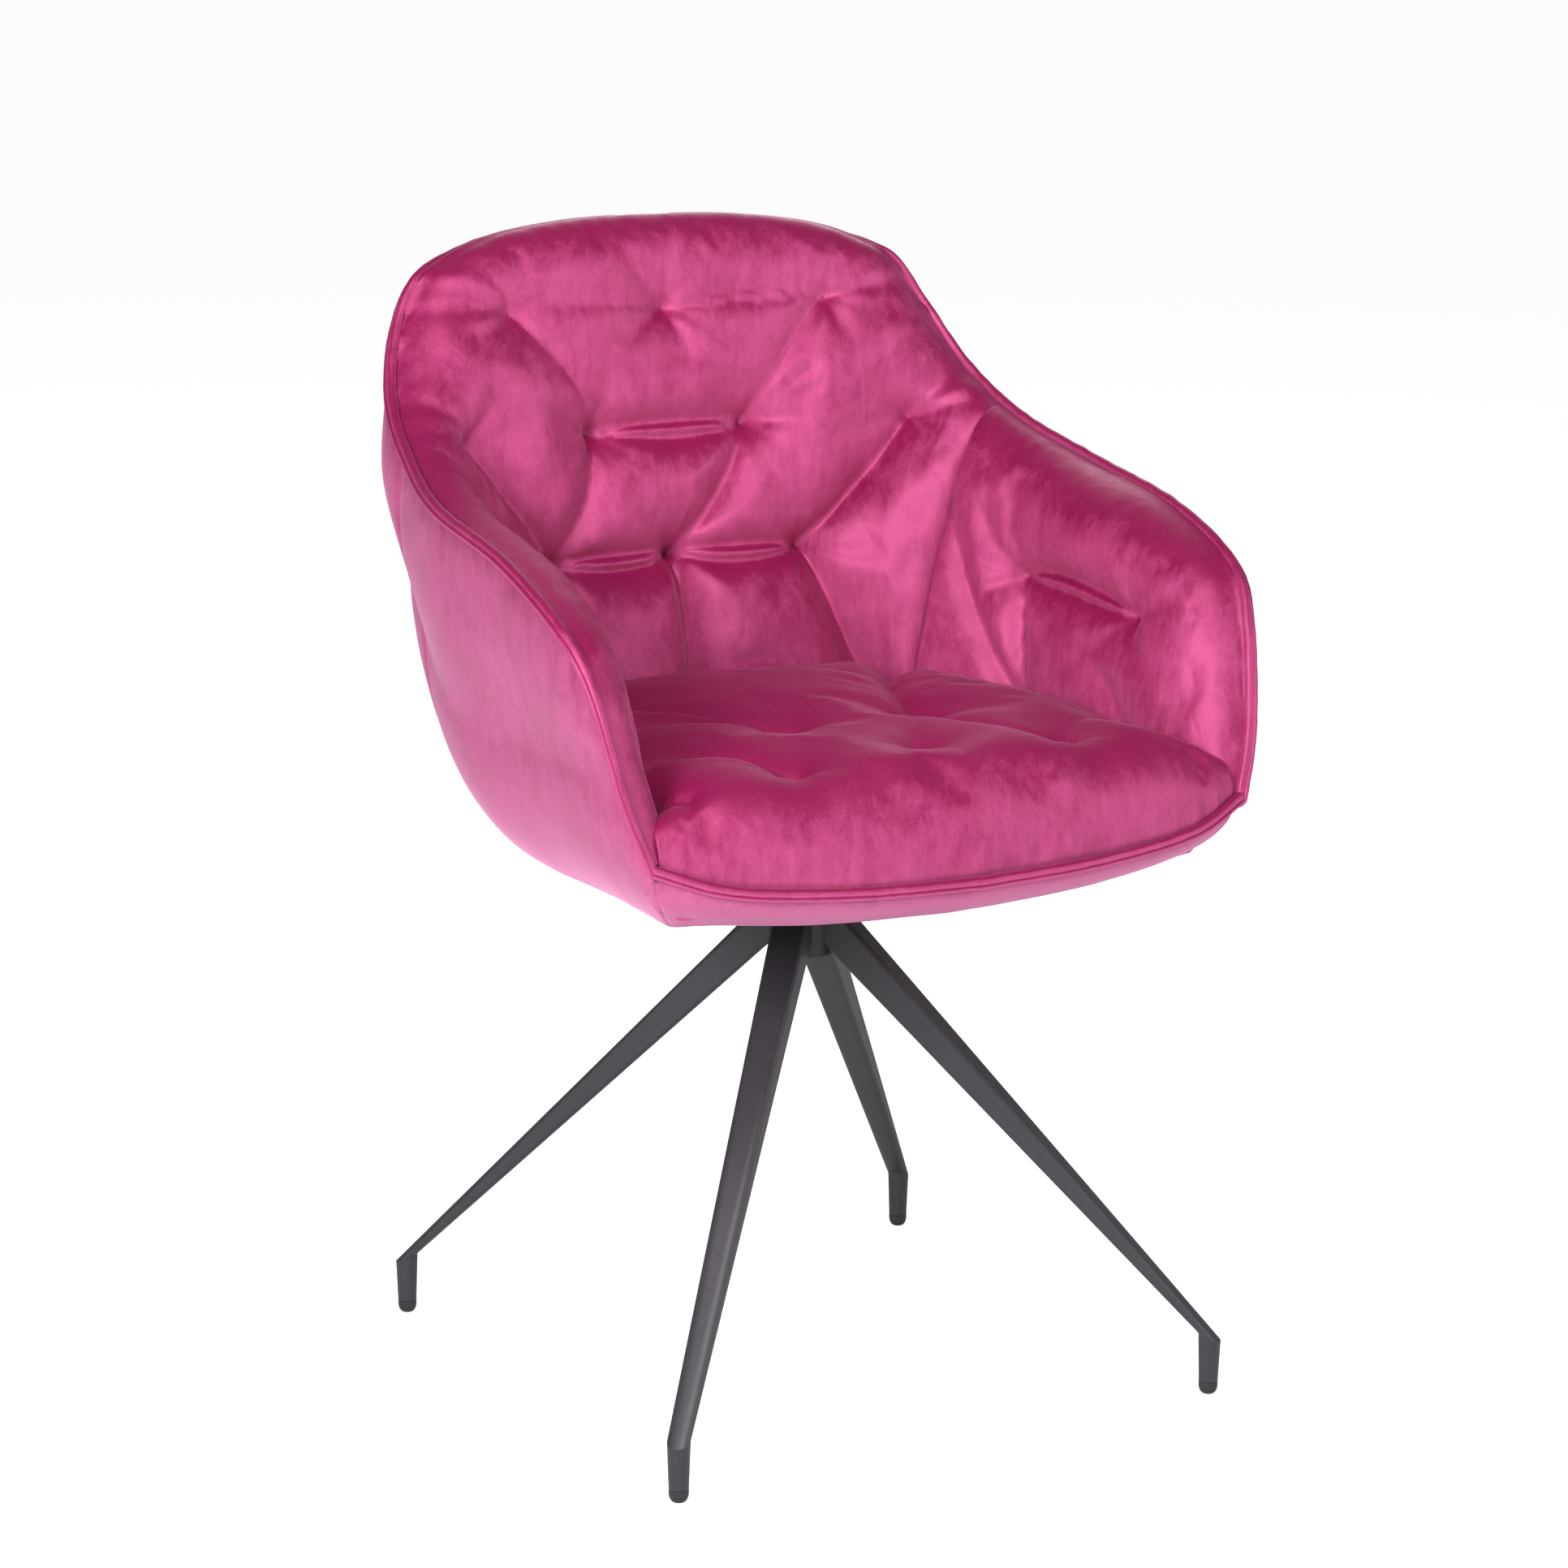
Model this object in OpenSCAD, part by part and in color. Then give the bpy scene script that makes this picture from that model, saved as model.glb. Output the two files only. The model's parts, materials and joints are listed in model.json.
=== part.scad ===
// Upholstered swivel tub chair on a four-legged steel base.
// Millimetres. +Z is up, the chair faces -Y and the origin is on the swivel axis at floor level.

/* [Base] */
// Distance of each foot from the swivel axis, along X and along Y
foot_reach = 227; // [210:1:245]
// Height of the bend between a sloping leg and its upright foot
bend_h = 45; // [38:1:52]
// Side of the square leg section at the hub
leg_top_w = 28; // [24:1:30]
// Diameter of the round leg section at the bend
leg_low_d = 17; // [15:0.5:19]
// Diameter of the foot at the glide
foot_d = 14.6; // [13:0.2:15]
// Wall of the leg tubes
leg_wall = 1.6; // [1.2:0.1:2.5]

/* [Swivel] */
// Outer diameter of the hub tube
hub_d = 50; // [48:1:54]
// Diameter of the spindle
spindle_d = 30; // [28:0.5:30]
// Number of balls in the thrust bearing
ball_n = 14; // [8:1:16]
// Side of the square swivel plate under the seat
plate_w = 180; // [160:5:200]
// Distance between neighbouring plate bolts
bolt_pitch = 130; // [110:5:140]

/* [Seat] */
// Height of the underside of the seat board
board_z = 394; // [392:1:396]
// Thickness of the seat board
board_t = 15; // [12:1:18]
// Height of the crown of the seat cushion
seat_crown_z = 520; // [505:1:525]
// Diameter of the piping
welt_d = 7; // [5:0.5:8]
// Thickness of the outer cover with its wadding
cover_t = 4; // [3:0.5:4]
// Thickness of the bent boards in the arms and the back
shell_board_t = 8; // [6:0.5:8]

/* [Hidden] */

steel = "#2b2b31";
bright = "#b9bcc2";
velvet = "#c23a7d";
ply = "#c9a873";
nylon = "#e6e4dc";
black = "#1c1c20";

gap = 0.3;            // free space between neighbouring soft or pressed pieces
running = 0.05;       // radial clearance of the spindle in its bushes

// Swivel stack, from the bottom up
hub_z0 = 321;
hub_z1 = 376;
flange_t = 2;
race_t = 3;
race_d = 47;
ball_d = 5;
ball_r_pitch = 19.5;
race_low_z = hub_z1 + flange_t;
ball_z = race_low_z + race_t + ball_d / 2;
race_up_z = race_low_z + race_t + ball_d;
plate_z = race_up_z + race_t;
plate_t = board_z - plate_z;
spindle_z0 = 334;
hub_bore_d = hub_d - 6;

// Outline of the hem, where the outer cover meets the padding, for the right half.
// Each row is x, y, z of the hem, the lean and the bulge of the wall below it, the width and
// the height of the rounded bottom edge, and the inner face of the padding near the hem (x, y)
// and at seat level (x, y). Row 0 is the front corner and the last row is the back's middle.
rim = [
    [245, -219, 459,  0, 0, 150, 69, 226, -203, 236, -212],
    [260, -207, 508,  2, 0, 135, 105, 222, -186, 222, -188],
    [272, -184, 580,  8, 3, 125, 122, 219, -160, 212, -160],
    [281, -150, 620, 14, 6, 120, 126, 218, -130, 208, -120],
    [283,  -70, 652, 17, 8, 118, 126, 217,  -62, 207, -55],
    [281,   40, 673, 17, 9, 118, 128, 215,   35, 203, 20],
    [266,  120, 697, 14, 11, 130, 160, 206,  100, 180, 88],
    [252,  180, 732, 12, 14, 150, 215, 190,  140, 160, 120],
    [232,  216, 780, 14, 12, 145, 215, 168,  168, 140, 138],
    [205,  231, 820, 19, 9, 115, 160, 145,  186, 112, 146],
    [150,  247, 843, 24, 6, 90, 115, 108,  200, 78, 151],
    [75,   260, 853, 26, 5, 80, 100, 56,   209, 40, 154],
    [0,    264, 855, 26, 5, 80, 100, 0,    212, 0, 155]];
// The same for the front, from the middle to the corner.
front = [
    [0,   -254, 430, 0, 0, 105, 40],
    [100, -247, 432, 0, 0, 118, 42],
    [190, -236, 441, 0, 0, 165, 51],
    [245, -219, 459, 0, 0, 150, 69]];
half_w = 283;              // half width and half depth of the rounded square whose gradient
half_d = 250;              // gives the outward directions of the hem
bottom_z = board_z - cover_t - gap;   // underside of the covers, which fold under the seat board
rim_last = len(rim) - 1;
arm_end = 6.25;            // row at which an arm meets the back

// Tuft points: x, y, z of the bottom of each pinch
back_tufts = [[0, 247, 788], [-113, 234, 790], [113, 234, 790],
              [-165, 198, 702], [-61, 230, 699], [61, 230, 699], [165, 198, 702],
              [-107, 203, 600], [0, 216, 601], [107, 203, 600]];
arm_tufts = [[228, 46, 585], [228, -90, 574]];
seat_tufts = [[-114, -184, 495], [0, -172, 495], [114, -184, 495], [-56, -75, 505], [56, -75, 505]];
tie_r = 1.2;

function mix(a, b, t) = a + (b - a) * t;
function unit(v) = v / norm(v);
function flat(list) = [for (row = list) for (p = row) p];

// Catmull-Rom value of a table at a fractional row
function at(tab, u) =
    let (n = len(tab) - 1, i = min(n - 1, max(0, floor(u))), t = u - i,
         p0 = tab[max(0, i - 1)], p1 = tab[i], p2 = tab[i + 1], p3 = tab[min(n, i + 2)],
         a = i == 0 ? 2 * p1 - p2 : p0, b = i + 2 > n ? 2 * p2 - p1 : p3)
    0.5 * (2 * p1 + (p2 - a) * t + (2 * a - 5 * p1 + 4 * p2 - b) * t * t
           + (3 * p1 - a - 3 * p2 + b) * t * t * t);

// Row of the whole rim at u, where negative u is the left half and 0 is the back's middle
function rim_row(u) =
    let (r = at(rim, rim_last - abs(u)), s = u < 0 ? -1 : 1)
    [s * r[0], r[1], r[2], r[3], r[4], r[5], r[6], s * r[7], r[8], s * r[9], r[10]];
// Horizontal outward direction of the hem at row r: the gradient of a rounded square
function hem_out(r) =
    unit([sign(r[0]) * pow(abs(r[0]) / half_w, 3) / half_w,
          sign(r[1]) * pow(abs(r[1]) / half_d, 3) / half_d]);
function rim_out(u) = hem_out(rim_row(u));
function front_row(u) =
    let (r = at(front, abs(u)), s = u < 0 ? -1 : 1) [s * r[0], r[1], r[2], r[3], r[4], r[5], r[6]];
function front_out(u) = hem_out(front_row(u));

// Outward distance from the hem of the outer surface at height z, sunk by off
function wall_d(r, z, off) =
    let (zc = bottom_z + r[6], h = max(1, r[2] - zc), t = min(1, max(0, (r[2] - z) / h)))
    z >= zc ? r[4] * sin(180 * t) - r[3] * t - off
            : -r[3] - r[5] + (r[5] - off) * sqrt(max(0, 1 - pow((zc - z) / (r[6] - off), 2)));
function wall_p(r, out, z, off) =
    let (d = wall_d(r, z, off)) [r[0] + out[0] * d, r[1] + out[1] * d, z];
// Heights of a wall from the hem down, then round the bottom edge to the angle low
function levels(r, off, top, low, n_wall = 6, n_arc = 7) =
    let (zc = bottom_z + r[6], zt = r[2] - top, z0 = min(zt, zc))
    concat([for (i = [0 : n_wall]) mix(zt, z0 - 0.001 * i, i / n_wall)],
           [for (i = [1 : n_arc]) let (z = zc - (r[6] - off) * sin(low * i / n_arc)) min(z, z0 - 0.02 * i)]);
// Inner face of the padding at height z: straight between its two stated points
seat_line_z = 480;         // height of the lower stated point
roll_h = 55;               // height over which the padding rolls over the hem
least_face_h = 40;         // least height of the face, near the front corner
function inner_p(r, z) =
    let (rise = max(least_face_h, r[2] - roll_h - seat_line_z), t = max(-0.25, (z - seat_line_z) / rise))
    [mix(r[9], r[7], t), mix(r[10], r[8], t), z];

// Closed solid between two grids of points with the same numbers of rows and columns
module slab(A, B) {
    n = len(A);
    m = len(A[0]);
    k = n * m;
    quads = concat(
        [for (i = [0 : n - 2]) for (j = [0 : m - 2])
            [i * m + j, i * m + j + 1, (i + 1) * m + j + 1, (i + 1) * m + j]],
        [for (i = [0 : n - 2]) for (j = [0 : m - 2])
            [k + i * m + j, k + (i + 1) * m + j, k + (i + 1) * m + j + 1, k + i * m + j + 1]],
        [for (i = [0 : n - 2]) [i * m, (i + 1) * m, k + (i + 1) * m, k + i * m]],
        [for (i = [0 : n - 2])
            [i * m + m - 1, k + i * m + m - 1, k + (i + 1) * m + m - 1, (i + 1) * m + m - 1]],
        [for (j = [0 : m - 2]) [j, k + j, k + j + 1, j + 1]],
        [for (j = [0 : m - 2])
            [(n - 1) * m + j, (n - 1) * m + j + 1, k + (n - 1) * m + j + 1, k + (n - 1) * m + j]]);
    polyhedron(concat(flat(A), flat(B)),
               [for (q = quads) for (t = [[q[0], q[1], q[2]], [q[0], q[2], q[3]]]) t]);
}

// Round cord swept along a list of points
module cord(path, d, sides = 8) {
    n = len(path);
    rings = [for (i = [0 : n - 1])
        let (t = unit(path[min(n - 1, i + 1)] - path[max(0, i - 1)]),
             a = unit(cross(t, abs(t[2]) < 0.9 ? [0, 0, 1] : [1, 0, 0])), b = cross(t, a))
        [for (k = [0 : sides - 1]) path[i] + d / 2 * (a * cos(360 * k / sides) + b * sin(360 * k / sides))]];
    side = [for (i = [0 : n - 2]) for (k = [0 : sides - 1])
        let (a = i * sides + k, b = i * sides + (k + 1) % sides)
        each [[a, a + sides, b + sides], [a, b + sides, b]]];
    cap0 = [for (k = [1 : sides - 2]) [0, k, k + 1]];
    last = (n - 1) * sides;
    cap1 = [for (k = [1 : sides - 2]) [last, last + k + 1, last + k]];
    polyhedron(flat(rings), concat(side, cap0, cap1));
}

function span(a, b, n) = [for (i = [0 : n]) mix(a, b, i / n)];

// How much longer a vertical drop is than the square distance from the hem, where the hem runs steeply
function steep(u) =
    let (d = rim_row(u + 0.05) - rim_row(u - 0.05)) norm([d[0], d[1], d[2]]) / norm([d[0], d[1]]);

// Upholstery wall between two sinks below the outer surface, over a list of hem positions
module wall(us, off0, off1, top, low, is_front = false) {
    rows = [for (u = us) is_front ? front_row(u) : rim_row(u)];
    outs = [for (u = us) is_front ? front_out(u) : rim_out(u)];
    drops = [for (u = us) is_front ? top : top * steep(u)];
    function grid(off) = [for (i = [0 : len(us) - 1])
        [for (z = levels(rows[i], off, drops[i], low)) wall_p(rows[i], outs[i], z, off)]];
    slab(grid(off0), grid(off1));
}

pad_low_z = 432;                              // foot of the arm and back padding
pad_off = cover_t + shell_board_t + 5.5;      // its outer side, behind the boards
pad_hem_off = cover_t + 1;                    // its outer side above the boards
// Padding over a list of hem positions: outer side behind the boards, rolled over the hem, inner side
module pad(us) {
    function outer(u) =
        let (r = rim_row(u), o = rim_out(u), h = r[2] - pad_low_z, step_z = r[2] - min(24, 0.4 * h))
        concat([for (t = span(0, 1, 5)) wall_p(r, o, mix(pad_low_z, step_z, t), pad_off)],
               [wall_p(r, o, r[2] - min(16, 0.3 * h), pad_hem_off), wall_p(r, o, r[2] - 1, pad_hem_off)]);
    function inner(u) =
        let (r = rim_row(u), roll = min(roll_h, 0.5 * (r[2] - pad_low_z)), hem = [r[0], r[1], r[2]],
             face = inner_p(r, r[2] - roll), across = [face[0] - hem[0], face[1] - hem[1], 0])
        concat([for (s = span(0, 1, 5)) inner_p(r, mix(pad_low_z, r[2] - roll, s))],
               [hem + across * 0.88 + [0, 0, -roll / 4], hem + across * 0.5 + [0, 0, 6]]);
    slab([for (u = us) outer(u)], [for (u = us) inner(u)]);
}

// ---------- base ----------
module at_leg(side_x, side_y) {
    rotate([0, 0, atan2(side_y, side_x)]) children();
}
leg_r = foot_reach * sqrt(2);
leg_axis_z = 369;                                   // height at which the leg axes meet
leg_tilt = atan2(leg_axis_z - bend_h, leg_r);       // slope of the legs
// Outer or inner skin of a leg in the XZ plane, shrunk by its wall
leg_start = 14;                                     // distance of a leg's upper end from the swivel axis
leg_corner_r = 3.5;                                 // rounding of the square section
slice = 0.5;                                        // thickness of the sections that a leg is hulled from
foot_top_z = 10;                                    // top of the glide's collar
module leg_bend(shrink) {
    mitre = (90 - leg_tilt) / 2;
    translate([leg_r, 0, bend_h]) rotate([0, mitre, 0])
        scale([1 / cos(mitre), 1, 1]) cylinder(h = slice, d = leg_low_d - 2 * shrink, center = true, $fn = 32);
}
module leg_skin(shrink) {
    along = leg_start - leg_axis_z * sin(leg_tilt);
    hull() {
        rotate([0, 90 + leg_tilt, 0]) translate([-leg_axis_z * cos(leg_tilt), 0, along])
            linear_extrude(slice) offset(r = leg_corner_r, $fn = 32)
                square(leg_top_w - 2 * leg_corner_r - 2 * shrink, center = true);
        leg_bend(shrink);
    }
    hull() {
        leg_bend(shrink);
        translate([leg_r, 0, foot_top_z - (shrink > 0 ? 1 : 0)])
            cylinder(h = slice, d = foot_d - 2 * shrink, $fn = 32);
    }
}
module leg(side_x, side_y) {
    color(steel) at_leg(side_x, side_y) difference() {
        leg_skin(0);
        leg_skin(leg_wall);
        translate([0, 0, 250]) cylinder(h = 200, d = hub_d + 0.1, $fn = 96);
        translate([leg_r, 0, foot_top_z - 5]) cylinder(h = 12, d = foot_d - 2 * leg_wall, $fn = 48);
    }
}
module glide(side_x, side_y) {
    plug_r = foot_d / 2 - leg_wall - running;
    plug_z = foot_top_z + 6;
    collar_z = foot_top_z - gap;
    flat_r = 3;
    dome_h = 7;
    color(black) translate([side_x * foot_reach, side_y * foot_reach, 0]) {
        rotate_extrude($fn = 64) polygon(concat(
            [[0, 0]],
            [for (a = [0 : 10 : 90]) [flat_r + (foot_d / 2 - flat_r) * sin(a), dome_h * (1 - cos(a))]],
            [[foot_d / 2, collar_z], [plug_r, collar_z], [plug_r, plug_z - 1],
             [plug_r - 1, plug_z], [0, plug_z]]));
    }
}
module tube(d_out, d_in, z0, z1) {
    translate([0, 0, z0]) difference() {
        cylinder(h = z1 - z0, d = d_out, $fn = 96);
        translate([0, 0, -1]) cylinder(h = z1 - z0 + 2, d = d_in, $fn = 96);
    }
}
module hub_tube() { color(steel) tube(hub_d, hub_bore_d, hub_z0, hub_z1); }
module hub_cap() {
    color(black) difference() {
        translate([0, 0, hub_z0]) cylinder(h = 3.2, d = hub_bore_d - 0.1, $fn = 96);
        translate([0, 0, hub_z0 + 2]) cylinder(h = 5, d = hub_bore_d - 4, $fn = 96);
    }
}
bush_d = hub_bore_d - 0.04;
bush_bore_d = spindle_d + 2 * running;
module bush_lower() { color(nylon) tube(bush_d, bush_bore_d, spindle_z0 + gap, spindle_z0 + 16); }
module bush_upper() {
    color(nylon) difference() {
        union() {
            translate([0, 0, hub_z1 - 18]) cylinder(h = 18, d = bush_d, $fn = 96);
            translate([0, 0, hub_z1]) cylinder(h = flange_t, d = race_d, $fn = 96);
        }
        translate([0, 0, hub_z1 - 20]) cylinder(h = 30, d = bush_bore_d, $fn = 96);
    }
}
module race_lower() { color(bright) tube(race_d, spindle_d + 0.6, race_low_z, race_low_z + race_t); }

// ---------- ball cage ----------
module at_balls() {
    for (i = [0 : ball_n - 1])
        rotate([0, 0, 360 * i / ball_n]) translate([ball_r_pitch, 0, ball_z]) children();
}
module ball_cage() {
    color("#c8a24a") difference() {
        tube(race_d - 1, spindle_d + 2, ball_z - 0.8, ball_z + 0.8);
        at_balls() cylinder(h = 4, d = ball_d + 0.2, center = true, $fn = 32);
    }
}
module bearing_balls() { color(bright) at_balls() sphere(d = ball_d - 0.04, $fn = 32); }

// ---------- rotating ironwork ----------
module race_upper() { color(bright) tube(race_d, spindle_d + 0.1, race_up_z, race_up_z + race_t); }
module spindle() {
    color(bright) difference() {
        translate([0, 0, spindle_z0]) cylinder(h = plate_z - spindle_z0, d = spindle_d, $fn = 96);
        translate([0, 0, spindle_z0 - 1]) cylinder(h = 23, d = 10.1, $fn = 48);
    }
}
retainer_t = 2.5;
module retaining_washer() { color(bright) tube(40, 10.5, spindle_z0 - retainer_t, spindle_z0); }
module hex_bolt(d, len, head_w, head_h) {
    translate([0, 0, -head_h]) cylinder(h = head_h, d = head_w / cos(30), $fn = 6);
    cylinder(h = len, d = d, $fn = 48);
}
module retaining_bolt() { color(bright) translate([0, 0, spindle_z0 - retainer_t]) hex_bolt(10, 22, 16, 6.4); }
module at_bolts() {
    for (x = [-1, 1], y = [-1, 1]) translate([x * bolt_pitch / 2, y * bolt_pitch / 2, 0]) children();
}
plate_corner_r = 14;
bolt_hole_d = 8.6;
washer_t = 1.6;
module swivel_plate() {
    color(steel) translate([0, 0, plate_z]) difference() {
        linear_extrude(plate_t) difference() {
            hull() for (x = [-1, 1], y = [-1, 1])
                translate([x, y] * (plate_w / 2 - plate_corner_r)) circle(r = plate_corner_r, $fn = 48);
            for (x = [-1, 1], y = [-1, 1]) translate([x, y] * bolt_pitch / 2) circle(d = bolt_hole_d, $fn = 48);
        }
        for (a = [45 : 90 : 315])
            rotate([0, 0, a]) translate([44, 0, -1]) cylinder(h = plate_t + 2, d = 16, $fn = 48);
    }
}
module plate_washers() {
    color(bright) at_bolts() translate([0, 0, plate_z - washer_t]) difference() {
        cylinder(h = washer_t, d = 18, $fn = 48);
        translate([0, 0, -1]) cylinder(h = washer_t + 2, d = bolt_hole_d, $fn = 48);
    }
}
module plate_bolts() { color(steel) at_bolts() translate([0, 0, plate_z - washer_t]) hex_bolt(8, 21, 13, 5.3); }
nut_d = 10;
module tee_nuts() {
    color(bright) at_bolts() difference() {
        union() {
            translate([0, 0, board_z + board_t]) cylinder(h = 1.5, d = 20, $fn = 48);
            translate([0, 0, board_z + 4]) cylinder(h = board_t - 4, d = nut_d, $fn = 48);
        }
        translate([0, 0, board_z]) cylinder(h = board_t + 5, d = 8.1, $fn = 48);
    }
}

// ---------- seat frame ----------
// Corners of the seat board's right half, from the front
board_half = [[84, -140], [128, -104], [150, -60], [148, 50], [96, 146]];
board_corner_r = 20;
module board_outline() {
    left = [for (i = [len(board_half) - 1 : -1 : 0]) [-board_half[i][0], board_half[i][1]]];
    offset(r = board_corner_r, $fn = 48) offset(delta = -board_corner_r) polygon(concat(board_half, left));
}
module seat_board() {
    color(ply) translate([0, 0, board_z]) difference() {
        linear_extrude(board_t) board_outline();
        at_bolts() translate([0, 0, -1]) cylinder(h = 5.2, d = bolt_hole_d, $fn = 48);
        at_bolts() translate([0, 0, 3.9]) cylinder(h = board_t, d = nut_d + 0.1, $fn = 48);
    }
}
dust_t = 1;
module dust_cover() {
    color(black) translate([0, 0, bottom_z - dust_t - 0.2]) difference() {
        linear_extrude(dust_t) offset(delta = -6) board_outline();
        cube([plate_w + 4, plate_w + 4, 10], center = true);
    }
}
staple_crown = 10;
staple_wire = 0.8;
staple_pitch = 26;
module staple(p, turn) {
    translate([p[0], p[1], bottom_z - dust_t - 0.7]) rotate([0, 0, turn])
        cube([staple_crown, staple_wire, staple_wire], center = true);
}
module dust_cover_staples() {
    color(bright) {
        for (i = [-1 : 2], s = [-1, 1]) staple([s * 139, staple_pitch * i - 14], 90);
        for (i = [-2 : 2]) staple([staple_pitch * i, -131], 0);
        for (i = [-3 : 3]) staple([staple_pitch * i, 136], 0);
    }
}
seam_u = rim_last - arm_end;                  // where the arms meet the back
seam_gap = 0.01;
pad_arm_us = concat(span(-11.5, -6.5, 10), [-6.05, -seam_u - seam_gap]);
board_arm_us = concat(span(-11, -6.5, 9), [-6.05, -seam_u - seam_gap]);
cover_arm_us = concat([-11.99], pad_arm_us);
back_us = span(-seam_u + seam_gap, seam_u - seam_gap, 30);
function mirrored(us) = [for (i = [len(us) - 1 : -1 : 0]) -us[i]];
board_off = cover_t + 1.2;                    // the boards lie inside the covers' wadding
board_top_drop = 25;                          // and stop this far below the hem
board_low_a = 48;                             // and at this angle round the bottom edge
module shell_board(us) {
    color(ply) wall(us, board_off, board_off + shell_board_t, board_top_drop, board_low_a);
}
module arm_board_left() { shell_board(board_arm_us); }
module arm_board_right() { shell_board(mirrored(board_arm_us)); }
module back_board() { shell_board(back_us); }

// Bent strips that tie the arm and back boards to the seat board: a foot, a slope and a tab
bracket_w = 34;
bracket_t = 3;
board_top = board_z + board_t + 0.2;
// Profile of a strip: how far out its foot starts, its bend and its tip are, and the tip's height
module bracket_profile(foot, bend, tip, tip_z) {
    polygon([[foot, board_top], [bend, board_top], [tip, tip_z], [tip - 1, tip_z + 2.5],
             [bend - 1, board_top + bracket_t], [foot, board_top + bracket_t]]);
}
module side_bracket(y) {
    translate([0, y + bracket_w / 2, 0]) rotate([90, 0, 0]) linear_extrude(bracket_w)
        bracket_profile(118, 148, 216, 427);
}
module back_bracket(x) {
    translate([x - bracket_w / 2, 0, 0]) rotate([90, 0, 90]) linear_extrude(bracket_w)
        bracket_profile(110, 146, 194, 426);
}
module frame_brackets() {
    color(steel) {
        for (s = [-1, 1], y = [-55, 30]) scale([s, 1, 1]) side_bracket(y);
        for (x = [-80, 80]) back_bracket(x);
    }
}
module screw() {
    cylinder(h = 2.2, d1 = 8, d2 = 4, $fn = 32);
}
module bracket_screws() {
    color(bright) {
        for (s = [-1, 1], y = [-65, -45, 20, 40]) translate([s * 133, y, board_top + bracket_t + 0.1]) screw();
        for (x = [-90, -70, 70, 90]) translate([x, 130, board_top + bracket_t + 0.1]) screw();
    }
}

// ---------- covers ----------
cover_drop = 6;                               // the covers start this far below the hem, under the piping
cover_low_a = 88;                             // and end at this angle round the bottom edge
module cover(us, is_front = false) {
    color(velvet) wall(us, 0, cover_t, cover_drop, cover_low_a, is_front);
}
module outer_arm_left() { cover(cover_arm_us); }
module outer_arm_right() { cover(mirrored(cover_arm_us)); }
module outer_back() { cover(back_us); }
module front_border() { cover(span(-2.985, 2.985, 24), true); }
welt_out = 1.2;                               // the piping lies this far outside the hem
function hem_p(r, o) = [r[0] + o[0] * welt_out, r[1] + o[1] * welt_out, r[2]];
module rim_welt() {
    color(velvet) cord([for (u = span(-11.9, 11.9, 96)) hem_p(rim_row(u), rim_out(u))], welt_d);
}
module seat_welt() {
    color(velvet) cord([for (u = span(-2.86, 2.86, 40)) hem_p(front_row(u), front_out(u))], welt_d);
}

// ---------- padding ----------
module tie_hole() { cylinder(h = 200, r = tie_r + 0.4, center = true, $fn = 16); }
module arm_pad(s) {
    color(velvet) difference() {
        pad(s < 0 ? pad_arm_us : mirrored(pad_arm_us));
        for (p = arm_tufts) translate([s * p[0], p[1], p[2]]) rotate([0, 90, 0]) tie_hole();
    }
}
module arm_pad_left() { arm_pad(-1); }
module arm_pad_right() { arm_pad(1); }
module back_pad() {
    color(velvet) difference() {
        pad(back_us);
        for (p = back_tufts) translate(p) rotate([90, 0, 0]) tie_hole();
    }
}
// Outline of the seat cushion: the arms' and the back's inner faces, then the front hem
nose_in = 5;                                  // the cushion stays this far inside the front hem
side_in = 3;                                  // and this far inside the arms' and the back's faces
side_edge_z = 478;                            // height of its edge between the arms
function seat_side(u) = let (r = rim_row(u)) [r[9], r[10]];
function seat_nose(u) =
    let (r = front_row(u), o = front_out(u)) [r[0] - o[0] * nose_in, r[1] - o[1] * nose_in];
function edge_z(p) = p[1] < -190 ? front[0][2] + 28 * pow(abs(p[0]) / rim[0][0], 2) : side_edge_z;
seat_mid = [0, -30];
seat_ring = concat([for (u = span(-11.2, 11.2, 40)) seat_side(u) - side_in * unit(seat_side(u) - seat_mid)],
                   [for (u = span(2.7, -2.7, 24)) seat_nose(u)]);
pad_floor_z = board_top + 5.6;
floor_share = 0.72;                           // size of its flat underside, clear of the brackets
// Rings of its top: share of the outline, and share of the rise from the edge to the crown
crown_rings = [[1, 0], [0.965, 0.42], [0.9, 0.7], [0.75, 0.92], [0.45, 1]];
module seat_pad() {
    n = len(seat_ring);
    bottom = [for (p = seat_ring) [each mix(seat_mid, p, floor_share), pad_floor_z]];
    rings = concat([bottom], [for (s = crown_rings) [for (p = seat_ring)
        let (q = mix(seat_mid, p, s[0])) [q[0], q[1], mix(edge_z(p), seat_crown_z, s[1])]]]);
    m = len(rings);
    pts = concat(flat(rings), [[each seat_mid, pad_floor_z], [each seat_mid, seat_crown_z + 1]]);
    side = [for (i = [0 : m - 2]) for (k = [0 : n - 1])
        let (a = i * n + k, b = i * n + (k + 1) % n) each [[a, a + n, b + n], [a, b + n, b]]];
    lid = [for (k = [0 : n - 1])
        each [[m * n, k, (k + 1) % n], [m * n + 1, (m - 1) * n + (k + 1) % n, (m - 1) * n + k]]];
    color(velvet) difference() {
        polyhedron(pts, concat(side, lid));
        for (p = seat_tufts) translate(p) tie_hole();
    }
}
tie_len = 10;
module tie(len) { cylinder(h = len, r = tie_r, $fn = 24); }
module back_ties() {
    color(velvet) for (p = back_tufts) translate(p) rotate([90, 0, 0]) tie(tie_len);
}
module arm_ties(s) {
    color(velvet) for (p = arm_tufts) translate([s * p[0], p[1], p[2]]) rotate([0, -s * 90, 0]) tie(tie_len);
}
module arm_ties_left() { arm_ties(-1); }
module arm_ties_right() { arm_ties(1); }
module seat_ties() {
    color(velvet) for (p = seat_tufts) translate([p[0], p[1], pad_floor_z]) tie(p[2] - pad_floor_z);
}

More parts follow.
